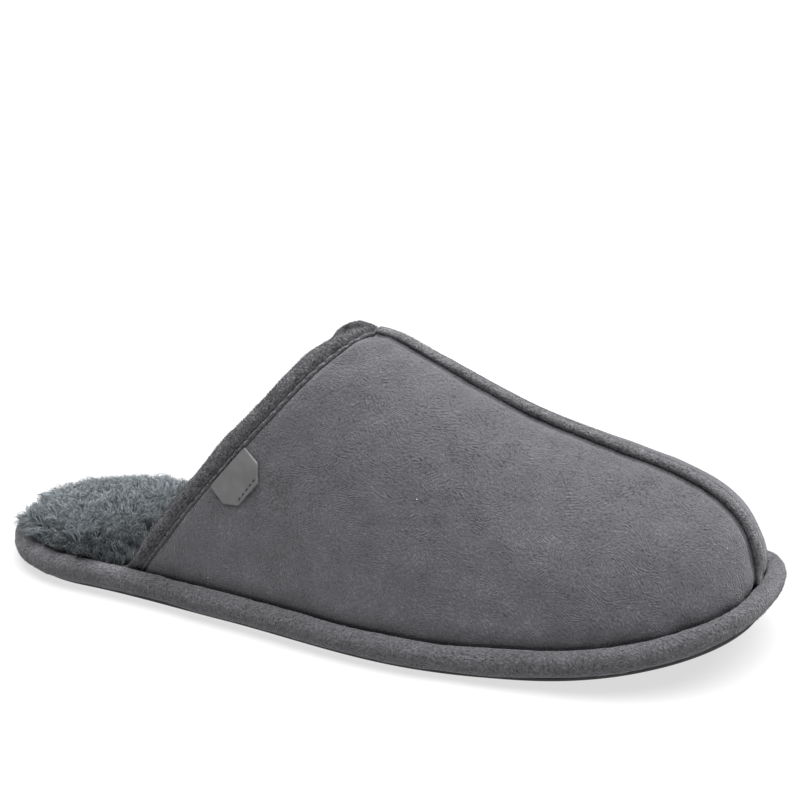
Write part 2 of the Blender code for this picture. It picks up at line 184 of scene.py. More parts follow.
# Camera: the photograph's view of the slipper
VIEW_AZIMUTH = math.radians(27.51)
VIEW_ELEVATION = math.radians(21.42)
VIEW_ROLL = math.radians(3.42)
VIEW_AIM = Vector((0.0131, 0.0, 0.07374))
VIEW_DISTANCE = 0.9
VIEW_LENS = 120.3


def curve_through(rows, column, at):
    """A table's column as a smooth curve with no overshoot between its rows (monotone cubic)."""
    x = np.array([row.at for row in rows])
    y = np.array([getattr(row, column) for row in rows])
    step = np.diff(x)
    slope = np.diff(y) / step
    tangent = np.zeros(len(x))
    for i in range(1, len(x) - 1):
        if slope[i - 1] * slope[i] > 0:
            near = 2 * step[i] + step[i - 1]
            far = step[i] + 2 * step[i - 1]
            tangent[i] = (near + far) / (near / slope[i - 1] + far / slope[i])
    tangent[0], tangent[-1] = slope[0], slope[-1]
    at = np.clip(np.asarray(at, float), x[0], x[-1])
    i = np.clip(np.searchsorted(x, at) - 1, 0, len(x) - 2)
    t = (at - x[i]) / step[i]
    return (
        y[i] * (1 + 2 * t) * (1 - t) ** 2
        + tangent[i] * step[i] * t * (1 - t) ** 2
        + y[i + 1] * t * t * (3 - 2 * t)
        + tangent[i + 1] * step[i] * t * t * (t - 1)
    )


def smooth_through(points, count, closed=False):
    """count points on a smooth curve through the given ones."""
    p = np.asarray(points, float)
    spans = len(p) if closed else len(p) - 1
    t = np.linspace(0, spans, count, endpoint=not closed)
    i = np.minimum(t.astype(int), spans - 1)
    f = (t - i)[:, None]

    def at(step):
        return p[(i + step) % len(p)] if closed else p[np.clip(i + step, 0, len(p) - 1)]

    a, b, c, d = at(-1), at(0), at(1), at(2)
    return 0.5 * (2 * b + (c - a) * f + (2 * a - 5 * b + 4 * c - d) * f**2 + (3 * b - a - 3 * c + d) * f**3)


def eased(t):
    t = np.clip(t, 0.0, 1.0)
    return t * t * (3 - 2 * t)


def bell(distance, reach):
    """1 at a line, fading smoothly away over the reach."""
    return np.exp(-((distance / reach) ** 2))


def unit(vectors):
    return vectors / np.maximum(np.linalg.norm(vectors, axis=-1, keepdims=True), 1e-12)


def joined(*axes):
    """Coordinates side by side, as the last axis of one array."""
    return np.stack(np.broadcast_arrays(*axes), axis=-1)


def end_spaced(count):
    """Shares from 0 to 1, close together at both ends, as a rounded end needs."""
    return (1 - np.cos(np.linspace(0, math.pi, count + 1))) / 2


def rounded_end(distance, length, fullness):
    t = np.clip(1 - np.asarray(distance, float) / length, 0.0, 1.0)
    return (1 - t**fullness) ** (1 / fullness)


def travelled(points, axis):
    """How far each point of a grid lies along its row or column, measured on the surface."""
    steps = np.linalg.norm(np.diff(points, axis=axis), axis=-1)
    start = np.zeros_like(np.take(steps, [0], axis=axis))
    return np.concatenate([start, np.cumsum(steps, axis=axis)], axis=axis)


def ripple(points, wavelength, seed, waves=14):
    """Smooth seeded noise at each point, mostly within -1 to 1, with about that wavelength."""
    rng = np.random.default_rng(seed)
    direction = unit(rng.normal(size=(waves, 3)))
    rate = 2 * math.pi / (wavelength * rng.uniform(0.7, 1.5, waves))
    phase = rng.uniform(0, 2 * math.pi, waves)
    return np.sin(points @ (direction * rate[:, None]).T + phase).sum(-1) / math.sqrt(waves)


def ripples(points, *rows):
    """Ripples of several sizes together; rows are (height, wavelength, seed)."""
    return sum(height * ripple(points, wavelength, seed) for height, wavelength, seed in rows)


def plan_half_width(side, from_heel):
    heel = rounded_end(from_heel, HEEL_ROUND, 2.0)
    toe = rounded_end(LENGTH - from_heel, TOE_ROUND, TOE_FULLNESS)
    return curve_through(PLAN, side, from_heel / LENGTH) * heel * toe


def parallel_plan(inset):
    """The sole's outline moved in by inset, as {side: (x, half width)} for reading off widths."""
    along = end_spaced(PLAN_POINTS) * LENGTH
    lateral = np.column_stack([along - HALF, -plan_half_width("lateral", along)])
    medial = np.column_stack([along - HALF, plan_half_width("medial", along)])
    points = np.vstack([lateral, medial[-2:0:-1]])
    tangent = unit(np.roll(points, -1, axis=0) - np.roll(points, 1, axis=0))
    inner = points + inset * np.column_stack([-tangent[:, 1], tangent[:, 0]])
    tip = HALF - inset
    sides = {}
    for side, sign in (("lateral", -1), ("medial", 1)):
        kept = inner[inner[:, 1] * sign > 0]
        kept = kept[np.argsort(kept[:, 0])]
        x = np.concatenate([[-tip], kept[:, 0], [tip]])
        sides[side] = (x, np.concatenate([[0.0], kept[:, 1] * sign, [0.0]]))
    return sides


PLANS = {}


def half_width_at(inset, side, x):
    if inset not in PLANS:
        PLANS[inset] = parallel_plan(inset)
    return np.interp(x, *PLANS[inset][side])


def lift(x):
    """How far toe spring raises the sole above the floor at x."""
    t = np.clip((x + HALF - SPRING_BREAK * LENGTH) / ((1 - SPRING_BREAK) * LENGTH), 0.0, 1.0)
    return TOE_SPRING * t * t


def ring(inset, height, rows):
    """Closed loop round the sole: heel tip, lateral side, toe tip, medial side."""
    tip = HALF - inset
    x = -tip + 2 * tip * end_spaced(rows)
    lateral = np.column_stack([x, -half_width_at(inset, "lateral", x)])
    medial = np.column_stack([x, half_width_at(inset, "medial", x)])
    loop = np.vstack([lateral, medial[-2:0:-1]])
    return np.column_stack([loop, height + lift(loop[:, 0])])


def last_section(lateral, x):
    """The last at x: its ridge above the upper's foot, its half width and its fullness."""
    share = (x + HALF) / LENGTH
    ridge = curve_through(LAST, "ridge", share) * rounded_end(TOE_TIP - x, RIDGE_ROUND, RIDGE_FULLNESS)
    outer, inner = (half_width_at(UPPER_INSET, side, x) for side in ("lateral", "medial"))
    return ridge, np.where(lateral, outer, inner), curve_through(LAST, "fullness", share)


def wall_point(x, v):
    """Points on the last's outside. v runs from -1 at the lateral foot over 0 on the ridge to 1."""
    x, v = np.broadcast_arrays(np.asarray(x, float), np.asarray(v, float))
    lateral = v < 0
    ridge, half, fullness = last_section(lateral, x)
    angle = (1 - np.abs(v)) * math.pi / 2
    out = half * np.cos(angle) ** (2 / fullness)
    rise = ridge * np.sin(angle) ** (2 / fullness)
    step = 0.0004
    slope = (last_section(lateral, x + step)[1] - last_section(lateral, x - step)[1]) / (2 * step)
    outward = unit(joined(-slope, np.ones_like(slope)))
    tuck = TUCK * np.maximum(1 - rise / TUCK_HEIGHT, 0.0) ** 2
    side = np.where(lateral, -1.0, 1.0)
    y = side * (out - tuck * outward[..., 1])
    return joined(x - tuck * outward[..., 0], y, UPPER_FOOT + lift(x) + rise)


def wall_normal(x, v):
    """Outward normals of the last at (x, v), level at the upper's foot."""
    x, v = np.broadcast_arrays(np.minimum(np.asarray(x, float), TOE_TIP - 0.0004), np.asarray(v, float))
    step_x, step_v = 0.0003, 0.004
    along = wall_point(x + step_x, v) - wall_point(x - step_x, v)
    across = wall_point(x, np.minimum(v + step_v, 1.0)) - wall_point(x, np.maximum(v - step_v, -1.0))
    normal = unit(np.cross(along, across))
    level = unit(normal * (1, 1, 0))
    return np.where((np.abs(v) == 1)[..., None], level, normal)


def inside_last(points):
    x, y, z = np.moveaxis(points, -1, 0)
    ridge, half, fullness = last_section(y < 0, x)
    rise = np.maximum(z - UPPER_FOOT - lift(x), 0.0)
    across = (np.abs(y) / np.maximum(half, 1e-6)) ** fullness
    up = (rise / np.maximum(ridge, 1e-6)) ** fullness
    return (across + up < 1) & (x < TOE_TIP)


def drop_on_last(points, direction, reach=0.012):
    """Where lines from points outside, along the directions, meet the last."""
    near = np.zeros(points.shape[:-1])
    far = np.full(points.shape[:-1], reach)
    for _ in range(32):
        middle = (near + far) / 2
        inside = inside_last(points + direction * middle[..., None])
        far = np.where(inside, middle, far)
        near = np.where(inside, near, middle)
    return points + direction * far[..., None]


def edge_place(v):
    return curve_through(VAMP_EDGE, "place", v)


def edge_direction(v):
    """The vamp edge's direction at v, from the lateral foot towards the medial one."""
    step = 0.01
    low, high = np.maximum(v - step, -1.0), np.minimum(v + step, 1.0)
    return unit(wall_point(edge_place(high), high) - wall_point(edge_place(low), low))


def before_edge(v, distance):
    """The x that lies distance behind the vamp edge at v, measured along the wall square to the edge."""
    v = np.asarray(v, float)
    x = edge_place(v)
    direction = edge_direction(v)
    probe = 0.001
    forward = wall_point(x + probe, v) - wall_point(x, v)
    square = forward - direction * (forward * direction).sum(-1, keepdims=True)
    return x - distance * probe / np.linalg.norm(square, axis=-1)


def round_the_wall(count):
    """Values of v from the lateral foot to the medial one, a little closer together at the feet."""
    t = np.linspace(-1, 1, count + 1)
    return np.sign(t) * np.abs(t) ** 0.9


def grid_quads(rows, columns, closed=False, first=0):
    """Faces of a grid of rows x columns points; closed joins the last column to the first."""
    row = np.arange(rows - 1)[:, None]
    column = np.arange(columns if closed else columns - 1)[None, :]
    beside = (column + 1) % columns
    here, below = row * columns, (row + 1) * columns
    return first + joined(here + column, here + beside, below + beside, below + column).reshape(-1, 4)


def capped_quads(rows, columns, first=0):
    """Faces of a closed tube of rows x columns points, with a cap on either end."""
    faces = grid_quads(rows, columns, closed=True, first=first).tolist()
    faces.append([first + i for i in range(columns)][::-1])
    faces.append([first + (rows - 1) * columns + i for i in range(columns)])
    return faces


def new_piece(name, points, faces, material, shading=None):
    """A piece of the slipper: a mesh that rides on the root body. shading gives normals of its own."""
    mesh = bpy.data.meshes.new(name)
    points = np.asarray(points, float).reshape(-1, 3)
    mesh.from_pydata(points.tolist(), [], [list(map(int, face)) for face in faces])
    mesh.validate()
    mesh.shade_smooth()
    if shading is not None:
        mesh.normals_split_custom_set_from_vertices(shading.reshape(-1, 3).tolist())
    mesh.materials.append(material)
    piece = bpy.data.objects.new(name, mesh)
    bpy.context.scene.collection.objects.link(piece)
    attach(piece, "root")
    return piece


FIBRE_WIDTH = 0.00008
FIBRE_ROOT = 0.00005
COMB_SIZE = 0.006
LEAST_RISE = 0.35


def fibres(name, points, normals, count, length, material, slot, seed, chance=None, width=FIBRE_WIDTH):
    """Short nap standing off a grid of points: thin tapered blades, each one triangle.

    chance is the share of the fibres that is kept at each point.
    """
    rng = np.random.default_rng(seed)
    rows, columns = points.shape[:2]
    row = rng.uniform(0, rows - 1.001, count)
    column = rng.uniform(0, columns - 1.001, count)
    i, j = row.astype(int), column.astype(int)
    if chance is not None:
        kept = rng.uniform(0, 1, count) < chance[i, j]
        row, column, i, j = row[kept], column[kept], i[kept], j[kept]
    f, g = (row - i)[:, None], (column - j)[:, None]
    near = points[i, j] * (1 - g) + points[i, j + 1] * g
    far = points[i + 1, j] * (1 - g) + points[i + 1, j + 1] * g
    root = near * (1 - f) + far * f
    normal = normals[i, j]
    comb = joined(*(ripple(root, COMB_SIZE, seed + 1 + axis) for axis in range(3)))
    aim = unit(normal * 0.75 + 0.525 * comb + 0.45 * rng.normal(size=root.shape))
    aim = unit(aim + normal * np.maximum(LEAST_RISE - (aim * normal).sum(-1, keepdims=True), 0))
    aside = unit(np.cross(aim, rng.normal(size=root.shape)))
    half = width / 2 * rng.uniform(0.75, 1.25, (len(root), 1))
    tall = length * rng.uniform(0.4, 1.2, (len(root), 1))
    root = root - normal * FIBRE_ROOT
    blades = np.stack([root - aside * half, root + aside * half, root + aim * tall], axis=1)
    faces = np.arange(len(root) * 3).reshape(-1, 3)
    shading = np.repeat(unit(normal + 0.35 * aim)[:, None], 3, axis=1)
    return new_piece(name, blades, faces, material, shading)


def tube(name, points, material):
    """A closed tube through loops of points, stations x section, with both ends capped."""
    return new_piece(name, points, capped_quads(*points.shape[:2]), material)


def shell(name, fine, coarse, every, material):
    """A closed wall between a fine grid and a coarse one that has each every-th row and column of it."""
    rows, columns = fine.shape[:2]
    coarse_rows, coarse_columns = coarse.shape[:2]
    base = rows * columns
    faces = grid_quads(rows, columns).tolist()
    faces += grid_quads(coarse_rows, coarse_columns, first=base)[:, ::-1].tolist()
    border = (
        [(0, column) for column in range(columns)],
        [(row, columns - 1) for row in range(rows)],
        [(rows - 1, column) for column in range(columns - 1, -1, -1)],
        [(row, 0) for row in range(rows - 1, -1, -1)],
    )
    for side in border:
        for start in range(0, len(side) - 1, every):
            run = side[start:start + every + 1]
            thin = [row * columns + column for row, column in run]
            ends = [base + i // every * coarse_columns + j // every for i, j in (run[-1], run[0])]
            faces.append((thin + ends)[::-1])
    points = np.concatenate([fine.reshape(-1, 3), coarse.reshape(-1, 3)])
    return new_piece(name, points, faces, material)


def outward_normals(points, closed=False):
    """Unit normals of a grid of points, rows x columns; the caller turns them outward."""
    down = np.gradient(points, axis=0)
    if closed:
        across = np.roll(points, -1, axis=1) - np.roll(points, 1, axis=1)
    else:
        across = np.gradient(points, axis=1)
    return unit(np.cross(down, across))


def outward_of(points):
    """Normals of a tube's loops, stations x section, pointing away from the loops' middles."""
    normal = outward_normals(points, closed=True)
    away = points - points.mean(axis=1, keepdims=True)
    return normal * np.sign((normal * away).sum(-1).mean())


class Shader:
    """A material's node tree, with one call for each node."""

    def __init__(self, name):
        self.material = bpy.data.materials.new(name)
        self.material.use_nodes = True
        self.tree = self.material.node_tree
        self.surface = self.tree.nodes["Principled BSDF"]

    def add(self, kind, sockets=None, **settings):
        """Adds a node. A socket's value is a constant or another node's output."""
        made = self.tree.nodes.new("ShaderNode" + kind)
        for key, value in settings.items():
            setattr(made, key, value)
        self.set(made, sockets or {})
        return made

    def set(self, made, sockets):
        for key, value in sockets.items():
            if isinstance(value, bpy.types.NodeSocket):
                self.tree.links.new(value, made.inputs[key])
            else:
                made.inputs[key].default_value = value

    def place(self):
        return self.add("TexCoord").outputs["Object"]

    def noise(self, place, size, detail=2.0, roughness=0.5):
        """Noise with features of about that size in metres."""
        sockets = {"Vector": place, "Scale": 1 / size, "Detail": detail, "Roughness": roughness}
        return self.add("TexNoise", sockets).outputs["Fac"]

    def maths(self, operation, first, second):
        return self.add("Math", {0: first, 1: second}, operation=operation).outputs[0]

    def total(self, *parts):
        """The sum of factors, each times its share; parts are (factor, share)."""
        terms = [self.maths("MULTIPLY", factor, share) for factor, share in parts]
        result = terms[0]
        for term in terms[1:]:
            result = self.maths("ADD", result, term)
        return result

    def weighed(self, factor, low, high):
        """A factor moved from 0..1 to low..high."""
        return self.add("MapRange", {"Value": factor, "To Min": low, "To Max": high}).outputs["Result"]

    def colour(self, factor, stops):
        """Colours read along a factor; stops are (place, (red, green, blue))."""
        ramp = self.add("ValToRGB", {"Fac": factor})
        ramp.color_ramp.interpolation = "EASE"
        elements = ramp.color_ramp.elements
        while len(elements) < len(stops):
            elements.new(0.5)
        for element, (at, rgb) in zip(elements, stops):
            element.position = at
            element.color = (*rgb, 1.0)
        return ramp.outputs["Color"]

    def bump(self, height, distance):
        return self.add("Bump", {"Height": height, "Distance": distance, "Strength": 1.0}).outputs["Normal"]

    def bloom(self, weight, roughness, tint):
        """The soft shine of fibres at grazing angles."""
        sockets = {"Sheen Weight": weight, "Sheen Roughness": roughness, "Sheen Tint": (*tint, 1.0)}
        self.set(self.surface, sockets)

    def finish(self, colour, roughness, normal, specular=0.5):
        sockets = {"Base Color": colour, "Roughness": roughness, "Normal": normal}
        self.set(self.surface, {**sockets, "Specular IOR Level": specular})
        return self.material


def tinted(colour, share):
    return tuple(channel * share for channel in colour)


# Sizes of the suede's swirls, of the brush marks that follow them, and of its grain and mottling
SWIRL_SIZE = 0.011
MARK_SIZE = 0.0034
PATCH_SIZE = 0.009
GRAIN_SIZE = 0.0009
MOTTLE_SIZE = 0.008
SMUDGE_SIZE = 0.045


def suede(name, colour, cloth, fine_share=1.0):
    """Brushed faux suede: a short nap in finger-marked swirls, with mottling and a soft bloom."""
    shader = Shader(name)
    place = shader.place()
    swirl = shader.add("TexNoise", {"Vector": place, "Scale": 1 / SWIRL_SIZE, "Detail": 1.0}).outputs["Color"]
    heading = shader.add("VectorMath", {0: swirl, 1: (0.5, 0.5, 0.5)}, operation="SUBTRACT").outputs[0]
    brushed = {"Vector": place, "Scale": 1 / MARK_SIZE, "Frequency": 4.2, "Anisotropy": 0.75}
    brushed["Orientation"] = heading
    marks = shader.add("TexGabor", brushed, gabor_type="3D").outputs["Value"]
    patchy = shader.weighed(shader.noise(place, PATCH_SIZE, 1.0), 0.1, 1.3)
    nap = shader.maths("MULTIPLY", shader.maths("SUBTRACT", marks, 0.5), patchy)
    grain = shader.noise(place, GRAIN_SIZE, 2.0, 0.6)
    mottle = shader.noise(place, MOTTLE_SIZE, 3.0, 0.6)
    smudge = shader.noise(place, SMUDGE_SIZE, 1.0)
    tone = shader.total((nap, 0.58), (mottle, 0.45), (smudge, 0.35), (grain, 0.95 * fine_share))
    middle = 0.40 + 0.475 * fine_share
    tone = shader.maths("SUBTRACT", tone, middle - 0.5)
    shade = shader.colour(tone, ((0.1, tinted(colour, 0.42)), (0.5, colour), (0.9, tinted(colour, 1.65))))
    height = shader.maths("ADD", nap, shader.maths("MULTIPLY", grain, 1.2 * fine_share))
    shader.bloom(cloth.sheen, 0.45, (0.82, 0.82, 0.86))
    return shader.finish(shade, 0.95, shader.bump(height, cloth.nap_depth), 0.15)


# Painted light and shade on the fleece: paler towards the heel's far side, over these distances from the
# slipper's middle, and darker short of them
FLEECE_PAINTED_LIGHT_FROM = (-0.74, 0.67, 0.0)
FLEECE_PAINTED_LIGHT_START = 0.055
FLEECE_PAINTED_LIGHT_END = 0.098


def fleece_material(name, fleece, top, bottom):
    """Curly pile, with painted shade down between the locks, darker there than at their tips, and painted
    light towards the heel's far side.
    """
    shader = Shader(name)
    place = shader.place()
    # Painted shade: the colour darkens with depth down into the pile, from top to bottom
    height = shader.add("SeparateXYZ", {"Vector": place}).outputs["Z"]
    depth = shader.add("MapRange", {"Value": height, "From Min": bottom, "From Max": top}).outputs["Result"]
    clump = shader.noise(place, 0.005, 3.0, 0.6)
    patch = shader.noise(place, 0.022, 2.0)
    tone = shader.total((depth, 0.55), (clump, 0.40), (patch, 0.15))
    # Painted light and shade: the colour is paler towards the heel's far side and darker short of it
    brim = shader.add("VectorMath", {0: place, 1: FLEECE_PAINTED_LIGHT_FROM}, operation="DOT_PRODUCT").outputs["Value"]
    painted_light_span = {"From Min": FLEECE_PAINTED_LIGHT_START, "From Max": FLEECE_PAINTED_LIGHT_END, "To Min": -0.15, "To Max": 0.45}
    painted_light_and_shade = shader.add("MapRange", {"Value": brim, **painted_light_span}).outputs["Result"]
    tone = shader.maths("ADD", shader.maths("SUBTRACT", tone, 0.10), painted_light_and_shade)
    colour = fleece.colour
    stops = ((0.22, tinted(colour, 0.28)), (0.60, tinted(colour, 0.9)), (0.95, tinted(colour, 1.7)))
    shade = shader.colour(tone, stops)
    through = shader.add("BsdfTranslucent", {"Color": shade}).outputs["BSDF"]
    both = shader.add("MixShader", {0: 0.35, 1: shader.surface.outputs["BSDF"], 2: through})
    shader.set(shader.tree.nodes["Material Output"], {"Surface": both.outputs[0]})
    shader.bloom(fleece.sheen, 0.5, (0.80, 0.86, 0.92))
    return shader.finish(shade, 0.9, shader.bump(shader.noise(place, 0.0007, 3.0, 0.6), 0.00005), 0.2)


def plain_rubber(name, colour):
    shader = Shader(name)
    place = shader.place()
    pores = shader.noise(place, 0.0008, 4.0, 0.6)
    wear = shader.noise(place, 0.02, 3.0)
    shade = shader.colour(wear, ((0.3, tinted(colour, 0.8)), (0.7, tinted(colour, 1.25))))
    return shader.finish(shade, shader.weighed(pores, 0.55, 0.8), shader.bump(pores, 0.00008))


def tab_leather(name, colour):
    """Smooth leather-look with a fine pebble and a few softer patches."""
    shader = Shader(name)
    place = shader.place()
    cells = shader.add("TexVoronoi", {"Vector": place, "Scale": 1 / 0.0008}).outputs["Distance"]
    grain = shader.noise(place, 0.0006, 3.0, 0.6)
    patch = shader.noise(place, 0.006, 2.0)
    height = shader.total((cells, 0.6), (grain, 0.5))
    shade = shader.colour(patch, ((0.25, tinted(colour, 0.88)), (0.75, tinted(colour, 1.12))))
    return shader.finish(shade, shader.weighed(grain, 0.40, 0.58), shader.bump(height, 0.00003), 0.4)


def thread(name, colour):
    shader = Shader(name)
    twist = shader.noise(shader.place(), 0.0003, 2.0)
    shade = shader.colour(twist, ((0.3, tinted(colour, 0.7)), (0.7, tinted(colour, 1.2))))
    return shader.finish(shade, 0.7, shader.bump(twist, 0.00005))


# The cloth at a seam: how deep it is drawn in, where and how widely, and the same of the soft puff beside it
Seam = namedtuple("Seam", "trough trough_at trough_reach puff puff_at puff_reach")
EDGE_SEAM = Seam(0.00055, 0.0, 0.0009, 0.00030, 0.0065, 0.0040)
CENTRE_SEAM = Seam(0.00055, 0.0030, 0.0012, 0.00022, 0.0085, 0.0045)
FOOT_SEAM = Seam(0.00050, 0.0, 0.0022, 0.00035, 0.0090, 0.0050)


def drawn_in(distance, seam):
    trough = seam.trough * bell(distance - seam.trough_at, seam.trough_reach)
    return seam.puff * bell(distance - seam.puff_at, seam.puff_reach) - trough


def vamp_relief(x, v, points):
    """How far the vamp's cloth stands off the last: seams, puffs beside them, puckers and troughs."""
    from_edge = travelled(points, 0)
    across = travelled(points, 1)
    from_ridge = np.abs(across - across[:, [across.shape[1] // 2]])
    from_foot = np.where(v < 0, across, across[:, [-1]] - across)
    seams = drawn_in(from_edge, EDGE_SEAM) + drawn_in(from_ridge, CENTRE_SEAM)
    seams += drawn_in(from_foot, FOOT_SEAM)
    toe = eased((x - 0.05) / 0.07)
    puckers = (0.5 + toe) * ripples(points, (0.00013, 0.010, 11)) * bell(from_foot - 0.003, 0.0085)
    puckers += ripples(points, (0.00014, 0.008, 12)) * bell(from_edge - 0.002, 0.0060)
    puckers += ripples(points, (0.00010, 0.009, 13)) * bell(from_ridge - 0.003, 0.0060)
    soft = ripples(points, (0.00022, 0.048, 14), (0.00008, 0.017, 15), (0.00003, 0.007, 16))
    relief = seams + puckers + soft * (1 - bell(from_foot, 0.004))
    for crease in CREASES:
        ends = wall_point(np.array([crease.x_start, crease.x_end]), np.array([crease.v_start, crease.v_end]))
        run = ends[1] - ends[0]
        share = np.clip(((points - ends[0]) @ run) / (run @ run), 0.0, 1.0)
        distance = np.linalg.norm(points - ends[0] - share[..., None] * run, axis=-1)
        relief -= crease.depth * bell(distance, crease.reach)
        relief += 0.3 * crease.depth * bell(distance - 1.9 * crease.reach, 0.9 * crease.reach)
    return relief


VAMP_ROWS = 192
VAMP_COLUMNS = 272
VAMP_EVERY = 4
VAMP_FIBRES = 60000
CLOTH_THICKNESS = 0.0011


def vamp_grid(rows, columns):
    """(x, v) of a grid on the vamp, from its edge forward to the toe tip."""
    v = round_the_wall(columns)
    start = before_edge(v, -TOUCH_GAP)
    share = np.sin(np.linspace(0, math.pi / 2, rows + 1))[:, None]
    x = start + (TOE_TIP - 0.00002 - start) * share
    return x, np.broadcast_to(v, x.shape)


LINT_STRANDS = 5
LINT_HALF = 0.0003
LINT_HALF_WIDTH = 0.0001


def make_lint(cloth):
    """A few pale specks of lint, half a millimetre long, caught in the nap."""
    rng = np.random.default_rng(19)
    x, v = np.array(LINT).T
    points = []
    for spot in wall_point(x, v) + wall_normal(x, v) * LINT_HALF:
        for _ in range(LINT_STRANDS):
            aim, aside = unit(rng.normal(size=(2, 3)))
            for along, across in ((-1.0, -1.0), (1.0, -1.0), (2 / 3, 1.0), (-2 / 3, 1.0)):
                points.append(spot + along * LINT_HALF * aim + across * LINT_HALF_WIDTH * aside)
    faces = np.arange(len(points)).reshape(-1, 4)
    return new_piece("vamp_lint", points, faces, thread("lint", cloth.lint_colour))


def make_vamp(cloth):
    """The grey cloth of the vamp's two panels, over the wall of the last."""
    x, v = vamp_grid(VAMP_ROWS, VAMP_COLUMNS)
    points = wall_point(x, v)
    normal = wall_normal(x, v)
    fine = points + normal * vamp_relief(x, v, points)[..., None]
    coarse = (fine - normal * CLOTH_THICKNESS)[::VAMP_EVERY, ::VAMP_EVERY]
    material = suede("vamp_suede", cloth.colour, cloth)
    piece = shell("vamp_cloth", fine, coarse, VAMP_EVERY, material)
    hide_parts("upper")
    fibres("vamp_nap", fine, normal, VAMP_FIBRES, cloth.nap_length * 0.5, material, "suede", 17)
    make_lint(cloth)


LINING_ROWS = 120
LINING_COLUMNS = 168
LINING_FIBRES = 70000
LINING_PILE = 0.0030
LINING_STRAND = 0.00032


def make_lining(fleece):
    """The fleece that lines the vamp, its pile pressed flatter than the insole's."""
    x, v = vamp_grid(LINING_ROWS, LINING_COLUMNS)
    points = wall_point(x, v)
    normal = wall_normal(x, v)
    lumps = 0.5 + 0.5 * ripple(points, 0.0055, 21) * ripple(points, 0.0038, 22)
    depth = 0.0024 + 0.0007 * lumps
    inner = points - normal * depth[..., None]
    outer = (points - normal * (CLOTH_THICKNESS + 0.0009))[::VAMP_EVERY, ::VAMP_EVERY]
    top = CREST + 0.09
    material = fleece_material("lining_fleece", fleece, top, -top)
    shell("vamp_lining", inner[:, ::-1], outer[:, ::-1], VAMP_EVERY, material)
    pile = (inner, -normal, LINING_FIBRES, LINING_PILE, material, "fleece", 23)
    fibres("lining_pile", *pile, width=LINING_STRAND)


# Stitches of the binding's seam: their spacing, and the folds that run from them up over the band
BINDING_STATIONS = 420
BINDING_POINTS = 60
BINDING_FIBRES = 150000
PINCH_SPACING = 0.0047
PINCH_REACH = 0.0007
PINCH_DEPTH = 0.00060
FOLD_SLANT = 0.55
FOLD_REACH = 0.0006
FOLD_DEPTH = 0.00022
RIDGE_ALONG = 0.0062
BAND_ALONG = 0.0026


def binding_profile():
    """The binding's section, smoothed through its rows."""
    return smooth_through([(row.along, row.off) for row in BINDING], BINDING_POINTS, closed=True)


def make_binding(cloth):
    """The rolled band round the topline, pinched by the stitches of its seam."""
    v = round_the_wall(BINDING_STATIONS)
    start = before_edge(v, 0.0)
    edge = wall_point(start, v)
    travel = travelled(edge, 0)
    along, off = binding_profile().T
    rng = np.random.default_rng(31)
    stitches = np.arange(0.004, travel[-1] - 0.003, PINCH_SPACING)
    stitches = stitches + rng.normal(0, 0.00035, len(stitches))
    gap = travel[:, None] - stitches[None, :]
    pinch = bell(gap, PINCH_REACH).sum(1)[:, None]

    width = curve_through(BAND, "share", np.abs(v))[:, None]
    sway = 1 + 0.035 * ripple(edge, 0.021, 32)[:, None]
    proud = eased((edge[:, 2] - UPPER_FOOT) / BINDING_TUCK_REACH)[:, None]
    raised = np.where(off > 0, off * proud, off)
    in_ridge = bell(along - RIDGE_ALONG, 0.0006) * (off > -0.001)
    in_band = bell(along - BAND_ALONG, 0.0018) * (off > -0.001)
    raised = raised - PINCH_DEPTH * pinch * in_ridge * proud
    slant = (gap[:, None, :] - FOLD_SLANT * (SEAM_ALONG - along)[None, :, None]) / FOLD_REACH
    fold = np.exp(-(slant**2)).sum(-1) * in_band
    raised = raised - FOLD_DEPTH * fold * bell(along - 0.0042, 0.0017)
    raised = raised + 0.00012 * proud * in_band * ripple(edge, 0.009, 33)[:, None]

    x = before_edge(np.broadcast_to(v[:, None], raised.shape), (BINDING_WIDTH - along) * width * sway)
    spread = np.broadcast_to(v[:, None], x.shape)
    points = wall_point(x, spread) + raised[..., None] * wall_normal(x, spread)
    material = suede("binding_suede", cloth.trim_colour, cloth, 1.7)
    piece = tube("collar_binding_roll", points, material)
    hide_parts("collar_binding")
    furry = np.broadcast_to(np.where((along < 0.0048) & (off > -0.002), 1.0, 0.12), points.shape[:2])
    nap = (points, outward_of(points), BINDING_FIBRES, cloth.nap_length * 1.3, material, "suede_trim", 34)
    fibres("binding_nap", *nap, furry)


def ridge_line(count):
    """Points on the ridge from the binding to just above the rim at the toe, evenly spaced."""
    start = float(before_edge(0.0, -TOUCH_GAP))
    x = start + (TOE_TIP - start) * np.sin(np.linspace(0, math.pi / 2, 1200))
    line = wall_point(x, np.zeros_like(x))
    line = line[line[:, 2] > CREST + float(lift(TOE_TIP)) + 2 * TOUCH_GAP]
    travel = travelled(line, 0)
    even = np.linspace(0, travel[-1], count)
    return np.column_stack([np.interp(even, travel, line[:, i]) for i in range(3)]), even


STRIP_STATIONS = 420
STRIP_POINTS = 40
STRIP_FIBRES = 26000
STRIP_PITCH = 0.0034
STRIP_PINCH = 0.00022
STRIP_RIDGE = 0.0032
DROP_FROM = 0.004


